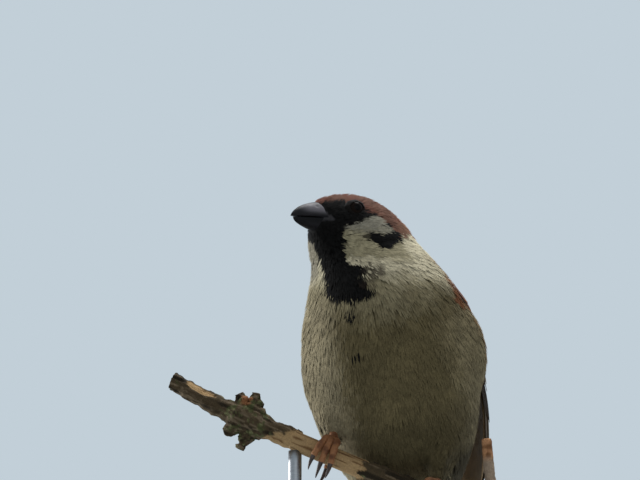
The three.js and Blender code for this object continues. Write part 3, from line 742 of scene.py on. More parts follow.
def stand_wood_material():
    """Stained hardwood, with grain lines that run along X."""
    n = material_nodes("stand_wood")
    grain = n.noise(2.2, detail=6.0, stretch=(14, 1, 1))
    pores = n.noise(0.5, detail=3.0, stretch=(20, 1, 1))
    colour = n.blend(n.span(grain, 0.35, 0.65, 0.0, 1.0), "#4a3020", "#7a5334")
    colour = n.blend(n.span(pores, 0.55, 0.75, 0.0, 0.5), colour, "#2c1a10")
    rough = n.span(grain, 0.3, 0.7, 0.5, 0.64)
    return n.finish(colour, rough, n.bump(pores, 0.12, 0.08), Specular_IOR_Level=0.0)


def stand_metal_material():
    """Brushed steel, with fine lines round the rod."""
    n = material_nodes("stand_steel")
    lines = n.noise(0.35, detail=3.0, stretch=(8, 8, 1))
    colour = n.blend(n.span(lines, 0.3, 0.7, 0.0, 1.0), "#8b8d90", "#a4a6a8")
    return n.finish(colour, n.span(lines, 0.3, 0.7, 0.34, 0.48), n.bump(lines, 0.1, 0.03), Metallic=1.0)


# ---- markings, with painted light and shade

# Edges on the head, as heights by the place along it.
CROWN_EDGE = through(
    [(-16, -3.6), (-10.3, -3.6), (-8, -4.2), (-5.4, -3.6), (-3.9, -1.2), (-2.2, 0.6), (0.2, 1.8)]
    + [(2.1, 4.0), (3.2, 5.0), (4.9, 5.3), (7.3, 5.0), (9.6, 4.6), (11.7, 3.8), (14, 3.2)]
)
MASK_EDGE = through([(2.3, 0.3), (3.1, -0.8), (4.2, -1.9), (6.5, -2.9), (8.2, -3.3), (14, -4.0)])
STRIPE_EDGE = through(
    [(-6.2, -5.5), (-4.6, -5.2), (-3.5, -3.3), (-2.6, -0.7), (-0.3, 0.7), (2.5, 0.0), (4, -1)]
)
# The bib's middle and half width, by height.
BIB_MIDDLE = through(
    [(-24.2, 11.5), (-23.3, 11.2), (-21, 9.5), (-19, 8.8), (-17.3, 7.6), (-15.6, 7.6), (-14.1, 6.0)]
    + [(-12.6, 4.3), (-10, 3.6), (-7, 2.5), (-3, 0), (2, 0)]
)
BIB_HALF = through(
    [(-25, 0), (-24.2, 3.0), (-23.3, 4.8), (-21, 5.8), (-19, 5.8), (-17.3, 5.5), (-15.6, 6.1), (-14.1, 5.1)]
    + [(-12.6, 3.9), (-10, 4.2), (-7, 4.9), (-3, 7.2), (2, 7.6)]
)
# The bare corner of the gape, behind the bill: its upper and lower edges by the place along the head.
GAPE_TOP = through([(9.2, -1.0), (9.6, -0.6), (10.8, 0.6), (12.2, 1.7), (13.2, 2.3)])
GAPE_LOW = through([(9.2, -1.1), (10, -1.35), (12, -1.5)])
# Ellipses that make the spot on the ear coverts: middle, half sizes and turn in degrees.
EAR_SPOTS = [((0.1, -6.3), (3.7, 1.9), 38), ((-3.7, -5.0), (3.0, 1.4), 8)]

PAINT = {
    "crown": "#6f4f41",
    # painted light: the back of the crown, paler than its front
    "lit_crown_back": "#957059",
    "crown_red": "#703a2f",
    "black": "#0e0d0c",
    "cheek": "#b1a98a",
    # painted shade: the upper cheek, darker than the lower
    "shaded_cheek_top": "#97958a",
    "collar": "#dcd4b6",
    "breast": "#a09779",
    # partly the belly's own tone and partly painted shade: darker than the real bird's underparts
    "belly": "#695f43",
    # painted light: paler flank and thigh on the bird's right side only
    "flank": "#958a6c",
    "painted_light_right": "#9a9075",
    # painted shade: the collar on the bird's right side
    "shaded_collar_right": "#9c947f",
    "shaded_throat_right": "#8d8878",
    # painted shade: the lower throat beside the bib on the bird's right side
    "vent": "#8f8669",
    "mantle": "#8b6847",
    "rump": "#83704f",
    "streak": "#211a15",
    "speck": "#2b231c",
    "shoulder": "#7c4e2e",
    "gape": "#3c3b3d",
    # painted shadow: the belly and vent under the bird's left wing
    "shadow_under_wing": "#3b3528",
    "lid": "#171412",
}
PAINT = {name: rgb(code) for name, code in PAINT.items()}


def two_tones(first, second, share):
    """Colours between two written ones, by a share for each point."""
    return mix(rgb(first), rgb(second), share[:, None])


def painted(colour, *coats):
    """Colours with paints laid over them in turn, each as its name and the amount of it at each point."""
    for name, amount in coats:
        colour = mix(colour, PAINT[name], np.clip(amount, 0, 1)[:, None])
    return colour


def on_mantle(p):
    """1 on the upper back between the wings, 0 elsewhere."""
    q, h = TRUNK.local(p), HEAD.local(p)
    ragged = noise(p, 2.2, 5) * 1.2
    behind = smooth(back_angle(p) + ragged * 4, 84, 68)
    return behind * smooth(h[:, 2] + ragged, -7.0, -9.5) * smooth(q[:, 0], -16, -8)


def on_gape(p):
    """1 on the bare corner of the gape, 0 elsewhere."""
    ahead, left, up = HEAD.local(p).T
    low, top = GAPE_LOW(ahead), GAPE_TOP(ahead)
    inside = smooth(up, low - 0.12, low + 0.12) * smooth(up, top + 0.12, top - 0.12)
    return inside * smooth(ahead, 9.1, 9.4) * (np.abs(left) > 1.5) * (ahead < 14)


def shoulder_patch(p):
    """1 on the rufous feathers that show at the bend of each wing."""
    q = TRUNK.local(p)
    ragged = noise(p, 1.4, 14) * 0.9
    along, angle = q[:, 0], back_angle(p)
    centre = 82 - 0.4 * (along - 18.5)
    across = smooth(np.abs(angle - centre) / 4.5 + ragged, 2.6, 1.2)
    return smooth(np.abs(along - 18) + ragged, 4.6, 3.2) * across


def body_markings(p):
    q, h, tail = TRUNK.local(p), HEAD.local(p), TAIL.local(p)
    ahead, left = q[:, 0], q[:, 1]
    angle = back_angle(p) + noise(p, 3, 4) * 5
    # painted light: the flank and thigh on the bird's right side are painted paler than on the left, as light
    # falling on that side and into the hollow by the thigh
    lit_right_side = smooth(left, -2, -11) * smooth(angle, 86, 96) * smooth(ahead, 30, 20)
    on_thigh = smooth(thigh_field(p, -1), 8, 0) * smooth(ahead, -4, -10)
    # painted shadow: the belly and vent under the bird's left wing are painted darker, as the wing's shade
    wing_shadow_mask = smooth(ahead + noise(p, 3, 17), -20, -24) * smooth(ahead, -42, -34)
    wing_shadow_mask = wing_shadow_mask * smooth(angle, 136, 124) * smooth(angle, 84, 92) * smooth(left, -4, 4)
    collar = smooth(h[:, 2] + noise(p, 3, 2) * 1.6, -19.8, -13.6)
    colour = painted(
        np.tile(PAINT["breast"], (len(p), 1)),
        # the belly is painted darker than the breast, partly its own tone and partly painted shade on the
        # underside
        ("belly", smooth(ahead + noise(p, 5, 1) * 3, 28, 15)),
        ("flank", 0.75 * smooth(angle, 132, 100) * smooth(ahead, 20, 8)),
        ("painted_light_right", 0.8 * lit_right_side),
        ("painted_light_right", 0.8 * on_thigh),
        ("vent", smooth(ahead, -20, -30) * smooth(tail[:, 2], 1, -2)),
        ("shadow_under_wing", 0.75 * wing_shadow_mask),
        ("collar", collar),
        # painted shade: the collar is painted greyer on the bird's right side, where the key lamp lights it
        # most
        ("shaded_collar_right", collar * smooth(h[:, 1], 0, -6)),
        ("rump", smooth(angle, 95, 78) * smooth(ahead, 18, 10) * smooth(tail[:, 2], -2.5, 0)),
        ("mantle", on_mantle(p)),
    )
    streaks = noise(q * [0.3, 1, 1], 2.6, 15) + 0.6 * noise(q * [0.4, 1, 1], 1.2, 16)
    clumps = noise(p, 4.5, 21) + 0.5 * noise(p, 2.4, 22)
    uneven = 1 + (0.15 * streaks + 0.1 * clumps) * smooth(ahead, 30, 20)
    shaded = 1 - 0.3 * smooth(ahead, -2, -14) * smooth(left, -6, 0) * smooth(angle, 96, 106)
    return painted(colour * (uneven * shaded)[:, None], ("shoulder", shoulder_patch(p)))


def ear_spots(ahead, up, ragged):
    """1 on the black spot on each cheek, 0 elsewhere."""
    best = 0
    for (spot_ahead, spot_up), (long, short), turn in EAR_SPOTS:
        turn = math.radians(turn)
        x = (ahead - spot_ahead) * math.cos(turn) + (up - spot_up) * math.sin(turn)
        y = (up - spot_up) * math.cos(turn) - (ahead - spot_ahead) * math.sin(turn)
        spot = smooth(1 - np.hypot(x / long, y / short) + ragged * 0.35, -0.08, 0.1)
        best = best + spot - best * spot
    return best


def head_markings(p, colour):
    """The head's own markings, with painted light and shade, over the body's colours."""
    h = HEAD.local(p)
    ragged = noise(p, 1.3, 7) * 0.5 + noise(p, 0.7, 8) * 0.35
    ahead, left, up = h.T
    beside = np.abs(left) > 5
    behind = smooth(ahead, -5.5, -7)
    cheek = (1 - behind) * smooth(ahead, 11, 9)
    colour = painted(
        colour,
        ("cheek", smooth(up, -12.6, -11) * cheek),
        ("collar", smooth(up + ragged, -9, -7.5) * behind),
        # painted shade: the upper cheek is painted darker than the lower
        ("shaded_cheek_top", 0.8 * smooth(up, -5.5, -2.5) * cheek),
    )
    strands = noise(h * [0.35, 1, 1.3], 0.9, 18) * smooth(up, -14, -11)
    colour = colour * (1 - 0.16 * smooth(strands, 0.0, 0.45))[:, None]

    low = STRIPE_EDGE(ahead) + ragged * 0.5
    stripe = smooth(up, low - 0.2, low + 0.2) * smooth(ahead, -6.0, -5.0) * smooth(ahead, 4, 3)
    edge = MASK_EDGE(ahead)
    bib = BIB_HALF(up) + ragged * 1.0 - np.abs(left - BIB_MIDDLE(up))
    crown_edge = CROWN_EDGE(ahead) + ragged * 0.4
    crown = smooth(up, crown_edge - 0.3, crown_edge + 0.3)
    colour = painted(
        colour,
        ("black", ear_spots(ahead, up, ragged) * beside),
        ("black", stripe * beside),
        # painted shade: the lower throat beside the bib is painted greyer on the bird's right side, where the
        # key lamp lights it most
        ("shaded_throat_right", 0.9 * smooth(left, 1, -2) * smooth(ahead, 3, 6) * smooth(up, -18, -15)),
        ("black", smooth(up + ragged, edge - 0.25, edge + 0.25) * smooth(ahead, 2.3, 2.9)),
        ("black", smooth(bib, -0.2, 0.2) * smooth(up, -0.5, -1.5) * smooth(ahead, -1, 1)),
        ("gape", on_gape(p)),
        ("crown", crown),
        # painted light: the back of the crown is painted paler, against the shade that falls on it
        ("lit_crown_back", crown * smooth(ahead, -4, -12)),
        ("crown_red", 0.5 * crown * smooth(noise(p, 2.4, 23), -0.1, 0.5)),
    )
    mottled = noise(p, 1.6, 19) + 0.6 * noise(p, 0.8, 20)
    return colour * (1 + 0.16 * crown * mottled)[:, None]


# Small dark specks beside the bib: place in head terms, size and seed.
SPECKS = [((3.8, 15.0, -15.5), 3.6, 9), ((5.7, 15.2, -19.4), 2.8, 11), ((7.6, -7.2, -12.6), 2.7, 10)]


def markings(p):
    """The plumage's colour at points on the coat."""
    colour = head_markings(p, body_markings(p))
    h = HEAD.local(p)
    for place, size, seed in SPECKS:
        speck = smooth(magnitude(h - place), size, size / 2) * smooth(noise(p, 0.9, seed), -0.5, -0.2)
        colour = painted(colour, ("speck", 0.85 * speck))
    return colour


# ---- skin

# A lid's section, as (distance from the eye's axis, height along it).
LID_PROFILE = [(2.85, 0.2), (2.72, 0.85), (2.5, 1.3), (2.25, 1.62), (2.05, 1.84), (1.9, 1.9), (1.82, 1.8)]
LID_PROFILE += [(1.86, 1.55), (2.15, 1.1)]
LID_TURNS = 56


def lid_ring(side):
    """A thin ring of bare skin round an eye, closed on itself, with an oval opening."""
    out, centre = eye_direction(side), eye_place(side)
    ahead = unit(squared_to(HEAD.forward, out))
    above = side * np.cross(ahead, out)
    radius, height = np.array(LID_PROFILE).T
    reach, opening = np.hypot(radius, height), np.arctan2(radius, height)
    rings = []
    for angle in turns(LID_TURNS):
        wave = 1 + 0.02 * math.sin(angle * 9)
        spoke = ahead * math.cos(angle) * 1.06 + above * math.sin(angle) * 0.94
        closed = opening * (1 - 0.13 * math.sin(angle) ** 2 * smooth(opening, 1.45, 0.85))
        across, above_skin = reach * np.sin(closed) * wave, reach * np.cos(closed)
        rings.append(centre + np.outer(across, spoke) + np.outer(above_skin, out))
    return outwards(np.concatenate(rings), [ring_faces(LID_TURNS, len(LID_PROFILE), looped=True)])


SKIN_LOW, SKIN_HIGH, SKIN_CELL = (-26.4, -40.4, 91.8), (26, 46, 184), 0.8  # box and cell of its net
SKIN_SHADE = 0.78  # the skin under the feathers is darker than they are
FLESH_NODES = ["head", "neck", "trunk", "rump", "thigh_left", "thigh_right"]


def make_skin(net, material):
    """The one skin of the bird, with its lids."""
    points, quads = net
    tint = markings(points) * mix(SKIN_SHADE, 1, on_gape(points))[:, None]
    all_points, faces = joined([(points, [quads]), lid_ring(1), lid_ring(-1)])
    lids = np.tile(PAINT["lid"], (len(all_points) - len(points), 1))
    piece = make_object("skin", all_points, faces, material, "body_plumage", np.concatenate([tint, lids]))
    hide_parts(*FLESH_NODES)


# ---- coat of small feathers


def scatter(points, quads, number):
    """Random places spread evenly over a mesh of quads."""
    triangles = points[np.concatenate([quads[:, :3], quads[:, [0, 2, 3]]])]
    first, second, third = triangles.swapaxes(0, 1)
    area = magnitude(np.cross(second - first, third - first))
    chosen = rng.choice(len(area), number, p=area / area.sum())
    first, second, third = first[chosen], second[chosen], third[chosen]
    a, b = rng.random((2, number, 1))
    flip = a + b > 1
    a, b = np.where(flip, 1 - a, a), np.where(flip, 1 - b, b)
    return first + a * (second - first) + b * (third - first)


def thinned(points, gap):
    """The points that are left when none may lie closer to another than gap."""
    cells = {}
    kept = []
    homes = np.floor(points / gap).astype(int).tolist()
    around = [(i, j, k) for i in (-1, 0, 1) for j in (-1, 0, 1) for k in (-1, 0, 1)]
    for index, (place, (a, b, c)) in enumerate(zip(points.tolist(), homes)):
        x, y, z = place
        near = (q for i, j, k in around for q in cells.get((a + i, b + j, c + k), ()))
        if all((x - u) ** 2 + (y - v) ** 2 + (z - w) ** 2 >= gap * gap for u, v, w in near):
            cells.setdefault((a, b, c), []).append(place)
            kept.append(index)
    return points[kept]


def lie_of(p, normals):
    """The way that feathers point at each place: away from the bill, down the body and towards the tail."""
    from_bill = unit(p - HEAD.at(15.5, 0, 0.5))
    to_tail = unit(TAIL.at(-22, 0, -1) - p)
    body = unit(mix(-TRUNK.forward, to_tail, smooth(TRUNK.local(p)[:, 0], 4, -26)[:, None]))
    way = mix(from_bill, body, smooth(below_collar(p), -5, 9)[:, None])
    for side in (1, -1):
        top, cuff = thigh_ends(side)
        share = smooth(thigh_field(p, side), 2.5, 0.5) * smooth((p - top) @ unit(cuff - top), 3, 9)
        way = mix(way, unit(cuff - top), share[:, None])
        away = p - eye_place(side)
        from_eye = squared_to(away, eye_direction(side))
        push = smooth(magnitude(from_eye), 5.2, 2.6) * (np.abs(away).max(1) < 6)
        way = way + unit(from_eye) * 1.1 * push[:, None]
    wander = np.stack([noise(p, 4.5, seed) for seed in (21, 22, 23)], 1)
    return unit(squared_to(unit(way) + 0.16 * wander, normals))


def eye_distance(p):
    """Distance from the axis of the nearer eye, for places near one."""
    best = np.full(len(p), 99.0)
    for side in (1, -1):
        d = p - eye_place(side)
        radial = magnitude(squared_to(d, eye_direction(side)))
        best = np.minimum(best, np.where(d @ eye_direction(side) > 0, radial, 99))
    return best


BILL_ROOT, BILL_TIP = 8.0, 20.1
BILL_HALF_WIDE, BILL_UPPER, BILL_LOWER = 3.9, 4.5, 3.6
OVERBITE = 0.8  # how much shorter the lower half is
BILL_BLUNT = 0.22  # half the thickness left at the tip


def bill_tip(which):
    return BILL_TIP - (OVERBITE if which < 0 else 0)


def bill_shape(ahead, which):
    """Gape height, depth from it and half width of the bill at places along it."""
    t = np.clip((ahead - BILL_ROOT) / (bill_tip(which) - BILL_ROOT), 0, 1)
    gape = -0.45 - 0.35 * (1 - smooth(t, 0, 0.35)) - 0.9 * t**1.5
    upper = BILL_UPPER * (1 - t**1.9) ** 0.62
    lower = BILL_LOWER * np.sqrt(1 - t**1.7) * (1 - 0.18 * t)
    depth = (upper if which > 0 else lower) + BILL_BLUNT
    half = BILL_HALF_WIDE * (1 if which > 0 else 0.9) * (1 - t**1.35) + BILL_BLUNT
    return gape, depth, half


def outside_bill(p):
    """How far outside the bill's flank a place is, in shares of the bill's section; large away from it."""
    h = HEAD.local(p)
    far = np.full(len(p), 9.0)
    for which in (1, -1):
        gape, depth, half = bill_shape(h[:, 0], which)
        rise = np.maximum(which * (h[:, 2] - gape), 0) / depth
        far = np.minimum(far, np.where(which * (h[:, 2] - gape) >= 0, np.hypot(h[:, 1] / half, rise), 9.0))
    return np.where(h[:, 0] > 6, far, 9.0)


def feather_length(p):
    to_bill = magnitude(p - BILL_PLACE)
    head = np.clip(1.3 + 0.24 * (to_bill - 4), 1.2, 4.2)
    body = np.clip(3.9 + 0.28 * below_collar(p), 3.9, 8.6)
    length = mix(head, body, smooth(below_collar(p), -3, 4))
    length = length * mix(0.5, 1, smooth(eye_distance(p), 2.3, 4.6))
    return np.minimum(length, mix(2.6, 8.5, smooth(cuff_distance(p), 2, 14)))


# Each zone: its longest feather, gap between roots, barbs a feather, rings along a barb, shade at the root.
ZONES = [
    {"name": "face", "longest": 2.2, "gap": 0.5, "barbs": 5, "stations": (0, 0.5), "root": 0.78},
    {"name": "head", "longest": 4.3, "gap": 0.7, "barbs": 7, "stations": (0, 0.5), "root": 0.78},
    {"name": "neck", "longest": 6, "gap": 0.98, "barbs": 9, "stations": (0, 0.5), "root": 0.86},
    {"name": "body", "longest": 99, "gap": 1.32, "barbs": 13, "stations": (0, 0.34, 0.7), "root": 0.79},
]
ROOTS_TRIED = 90000
# The least eye_distance, outside_bill and perch_distance of a root, and the most wing_cover and on_gape.
EYE_CLEAR, BILL_CLEAR, PERCH_CLEAR, MOST_COVERED, MOST_BARE = 2.35, 1.04, 0.7, 0.9, 0.3


def coat_roots(net):
    """Roots of the feathers in each zone, clear of bill, eyes, perch and of what the wings hide."""
    places = scatter(*net, ROOTS_TRIED)
    length = feather_length(places)
    clear = (eye_distance(places) > EYE_CLEAR) & (outside_bill(places) > BILL_CLEAR)
    clear &= (perch_distance(places) > PERCH_CLEAR) & (wing_cover(places) < MOST_COVERED)
    clear &= on_gape(places) < MOST_BARE
    shortest, zones = 0, []
    for zone in ZONES:
        mine = clear & (length >= shortest) & (length < zone["longest"])
        shortest = zone["longest"]
        zones.append(thinned(places[mine], zone["gap"]))
    return zones


STREAK_WIDTH = 0.52  # of a dark-centred feather on the back, as a share of its width


def varied(amount, *shape):
    """Numbers round 1, usually within an amount of it."""
    return 1 + amount * rng.standard_normal(shape)


def feather_colours(tips, zone):
    """Colours for (feather, barb, station) from the markings at the feathers' visible parts."""
    count, barbs, stations = len(tips), zone["barbs"], zone["stations"]
    base = markings(tips) * varied(0.055, count, 1).clip(0.8, 1.2)
    colours = np.repeat(base[:, None], barbs, 1)
    streaked = (on_mantle(tips) > 0.5) & (noise(TRUNK.local(tips) * [0.2, 1, 0.6], 1.9, 12) > -0.05)
    inner = np.abs(np.linspace(-1, 1, barbs)) < STREAK_WIDTH
    colours[streaked] = np.where(inner[None, :, None], PAINT["streak"], colours[streaked])
    colours = colours * varied(0.04, count, barbs, 1)
    shade = np.append(mix(zone["root"], 0.97, np.array(stations) / max(stations)), 1.05)
    return colours[:, :, None] * shade[:, None]


def barb_faces(rings):
    """Faces of one barb: a roof-shaped blade of three points a ring, which ends in a point."""
    quads, tip = [], 3 * rings
    for r in range(rings - 1):
        a, b = 3 * r, 3 * r + 3
        quads += [[a + 2, b + 2, b + 1, a + 1], [a, b, b + 2, a + 2], [a + 1, b + 1, b, a]]
    b = tip - 3
    triangles = [[b + 2, tip, b + 1], [b, tip, b + 2], [b + 1, tip, b], [0, 2, 1]]
    return np.array(quads), np.array(triangles)


def unwrap(p):
    """A map of the skin's own shape: round the body, and down it from bill to tail."""
    trunk, head = TRUNK.local(p), HEAD.local(p)
    turn_body = np.arctan2(trunk[:, 1], -trunk[:, 2])
    turn_head = np.arctan2(head[:, 1], -head[:, 0] * 0.3 - head[:, 2])
    upon_head = smooth(below_collar(p), 6, -2)
    run = mix(-trunk[:, 0], -30 - (p - COLLAR) @ COLLAR_UP, upon_head)
    return np.stack([mix(turn_body, turn_head, upon_head), run], 1)


def fitted(uv):
    low, high = uv.min(0), uv.max(0)
    return 0.02 + 0.96 * (uv - low) / np.maximum(high - low, 1e-6)


PATCH = 0.003  # a tuft's size in the OFBake map
FEATHER_WIDTH = 0.56  # of its length
TIP_LEVELS = (-0.3, 0.08)  # of the feathers' tips above the coat's outline
RIDGE_HEIGHT = 0.28  # of a barb's roof, as a share of its half width
BARB_ROUNDNESS = 0.28  # how far the shading normals lean out at a barb's edges


def feather_mesh(roots, zone):
    """Points, faces, tints, map places and normals of feathers, each a fan of thin closed barbs."""
    barbs, stations = zone["barbs"], zone["stations"]
    count = len(roots)
    normals = unit(slope_of(coat_field, roots)[1])
    lies = lie_of(roots, normals)
    aside = np.cross(normals, lies)
    length = feather_length(roots) * varied(0.1, count).clip(0.75, 1.25)
    width = length * FEATHER_WIDTH
    depth = coat_depth(roots) + 0.1

    q = np.linspace(-1, 1, barbs) + 0.1 * rng.standard_normal((count, barbs))
    s = np.array([*stations, 1.0])
    reach = length[:, None] * (1 - 0.3 * q**2) * varied(0.06, count, barbs)
    ahead = reach[..., None] * s
    spread = width[:, None, None] / 2 * q[..., None] * (0.2 + 0.75 * s**0.7)
    centres = lies[:, None, None] * ahead[..., None] + aside[:, None, None] * spread[..., None]
    centres = (roots[:, None, None] + centres).reshape(-1, 3)
    tip = rng.uniform(*TIP_LEVELS, (count, 1, 1)) + 0.05 * rng.standard_normal((count, barbs, 1))
    level = -depth[:, None, None] * (1 - s) ** 1.3 + tip * s
    placed, normal = onto_level(centres, level.reshape(-1))
    shape = (count, barbs, len(s), 3)
    placed, normal = placed.reshape(shape), normal.reshape(shape)

    heading = unit(np.gradient(placed, axis=2))
    across = np.cross(normal, heading)
    blade = width[:, None, None, None] / barbs * 0.95
    taper = np.array([0.45, *[1.0] * (len(stations) - 1)])[:, None]
    half = blade * taper * varied(0.12, count, barbs, 1, 1)
    body = placed[:, :, :-1]  # the last place is the barb's point
    upright, sideways = normal[:, :, :-1], across[:, :, :-1]
    ridge = body + upright * (half * RIDGE_HEIGHT)
    points = np.stack([body - sideways * half, body + sideways * half, ridge], 3)
    points = np.concatenate([points.reshape(count, barbs, -1, 3), placed[:, :, -1:]], 2)
    lean = BARB_ROUNDNESS * sideways
    soft = np.stack([upright - lean, upright + lean, upright], 3).reshape(count, barbs, -1, 3)
    soft = np.concatenate([soft, normal[:, :, -1:]], 2)

    visible = placed[:, barbs // 2, -1] * 0.75 + placed[:, barbs // 2, 0] * 0.25
    colours = feather_colours(visible, zone)
    tints = np.concatenate([np.repeat(colours[:, :, :-1], 3, 2), colours[:, :, -1:]], 2)

    home = fitted(unwrap(roots))[:, None, None]
    along = np.append(np.repeat(s[:-1], 3), 1.0) - 0.5
    beside = (np.arange(barbs) + 0.5) / barbs - 0.5
    uv = home + np.stack(np.broadcast_arrays(beside[:, None], along[None]), -1) * PATCH

    starts = np.arange(count * barbs)[:, None, None] * points.shape[2]
    faces = [(group[None] + starts).reshape(-1, group.shape[1]) for group in barb_faces(len(stations))]
    return points.reshape(-1, 3), faces, tints.reshape(-1, 3), uv.reshape(-1, 2), soft.reshape(-1, 3)


def region_of(roots):
    """Names the part of the bird that each root is on, so that each coat piece is one part."""
    q, h = TRUNK.local(roots), HEAD.local(roots)
    on_thigh = np.minimum(thigh_field(roots, 1), thigh_field(roots, -1)) < -0.2
    on_head = below_collar(roots) < 4
    part = np.full(len(roots), "belly_", dtype=object)
    part[q[:, 0] > 6] = "breast_"
    part[back_angle(roots) < 84] = "back_"
    part[q[:, 0] < -20] = "rump_"
    part[on_thigh & (coat_field(roots) < 0) & (q[:, 2] < -8)] = "thigh_"
    part[on_head] = "head_"
    return part + np.where(np.where(on_head, h[:, 1], q[:, 1]) > 0, "left", "right")


COAT_SLOTS = {"head": "head_plumage", "back": "back_plumage", "rump": "back_plumage"}
FEWEST = 3  # feathers that make a piece of their own


def make_coat(net, material):
    """All the small feathers, as a piece for each region and zone of size."""
    for zone, roots in zip(ZONES, coat_roots(net)):
        names = region_of(roots)
        for name in sorted(set(names)):
            mine = roots[names == name]
            mine = mine[np.argsort(unwrap(mine)[:, 1])]  # in order down the body
            if len(mine) < FEWEST:
                continue
            points, faces, tints, uv, soft = feather_mesh(mine, zone)
            label, maps = f"coat_{name}_{zone['name']}", {"OFBake": uv}
            slot = COAT_SLOTS.get(name.split("_")[0], "body_plumage")
            make_object(label, points, faces, material, slot, tints, maps, soft)


# ---- vanes: wing and tail feathers

VANE_COLUMNS = np.array([-1, -0.86, -0.62, -0.3, -0.07, 0, 0.07, 0.3, 0.62, 0.86, 1])
VANE_THICKNESS = 0.14


def vane_mesh(centres, normals, half_wide, radius, style, seed):
    """A closed feather blade on a curve: half_wide at each row, radius of the body it bends round.

    Column +1 is the feather's exposed edge. Gives points, faces, tints and the vane's own map.
    """
    rows = len(centres)
    heading = unit(np.gradient(centres, axis=0))
    across = unit(np.cross(normals, heading))
    s, c = np.linspace(0, 1, rows)[:, None], VANE_COLUMNS[None]
    place = np.stack(np.broadcast_arrays(c * 3 + seed * 7.3, s * 9, 0.0), -1)
    frayed = 1 + 0.05 * noise(place, 0.8, seed) * np.abs(c) ** 3
    beside = c * half_wide[:, None] * frayed
    shaft = 0.1 * bell(c, 0.06) * (1 - 0.6 * s)
    rise = shaft - beside**2 / (2 * radius)
    sweep = 0.35 * half_wide.max() * np.abs(c) * (1 - s) ** 0.5 * 0.3
    middle = centres[:, None] + beside[..., None] * across[:, None] + rise[..., None] * normals[:, None]
    middle = middle - sweep[..., None] * heading[:, None]
    thick = VANE_THICKNESS / 2 * (1 - 0.5 * np.abs(c)) * (1 - 0.3 * s)
    thick = thick[..., None] * normals[:, None]
    points, faces = tube(np.concatenate([middle + thick, (middle - thick)[:, ::-1]], 1))

    both = np.concatenate([VANE_COLUMNS, VANE_COLUMNS[::-1]])
    tint = style(np.repeat(s, len(both), 1), np.repeat(both[None], rows, 0), seed).reshape(-1, 3)
    tint = np.concatenate([tint, tint[:1], tint[-1:]])
    flat = np.stack(np.broadcast_arrays(both[None] / 2 + 0.5, s), -1).reshape(-1, 2)
    flat = np.concatenate([flat, [[0.5, 0], [0.5, 1]]])
    return points, faces, tint, flat


def rounded_blade(rows, wide, root=0.45, blunt=2.6, tip_from=0.72):
    """Half widths of a feather's blade from its root to its rounded tip."""
    s = np.linspace(0, 1, rows)
    grow = mix(root, 1, smooth(s, 0, 0.45))
    end = np.sqrt(np.maximum(1 - np.clip((s - tip_from) / (1 - tip_from), 0, 1) ** blunt, 0.0))
    return wide / 2 * np.maximum(grow * end, 0.04)


INNER_EDGE = "#5d5145"  # of every wing and tail feather, mostly hidden


def plain_style(centre, edge, tip, edge_from, tip_from):
    """Colours of a feather: its middle, its exposed edge and its tip, and where the last two start."""
    centre, edge, tip, inner = (rgb(code) for code in (centre, edge, tip, INNER_EDGE))

    def style(s, c, seed):
        place = np.stack([c * 2 + seed * 3.1, s * 7, 0 * s], -1)
        ragged = 0.1 * noise(place, 0.7, seed)
        colour = np.broadcast_to(centre, (*s.shape, 3))
        colour = mix(colour, edge, smooth(c + ragged, edge_from, edge_from + 0.16)[..., None])
        colour = mix(colour, inner, 0.5 * smooth(-c, 0.6, 0.9)[..., None])
        along = s + ragged * 0.4 - 0.04 * (1 - np.abs(c))
        colour = mix(colour, tip, smooth(along, tip_from, tip_from + 0.06)[..., None])
        return colour * (1 + 0.1 * noise(place, 0.5, seed + 40) + 0.08 * math.sin(seed * 2.4))[..., None]

    return style


STYLES = {
    "lesser": plain_style("#6b3a25", "#7f4a30", "#8f5f40", 0.7, 0.72),
    "median": plain_style("#1f1a17", "#2a221c", "#cfc8b4", 0.9, 0.66),
    "greater": plain_style("#2a211b", "#96683f", "#cdbb98", 0.42, 0.88),
    "primary_covert": plain_style("#2b231e", "#6f5740", "#6f5740", 0.72, 0.95),
    "alula": plain_style("#241d19", "#8a7355", "#8a7355", 0.75, 0.95),
    "tertial": plain_style("#261e19", "#a4764b", "#b99468", 0.45, 0.9),
    "secondary": plain_style("#544533", "#9b7148", "#a98a63", 0.5, 0.93),
    "primary": plain_style("#5e4f3c", "#967a58", "#6d5a45", 0.62, 0.97),
    "tail": plain_style("#3f3229", "#8a7558", "#6b5946", 0.82, 0.97),
    "tail_middle": plain_style("#45362b", "#917a5b", "#7a664e", 0.7, 0.95),
}


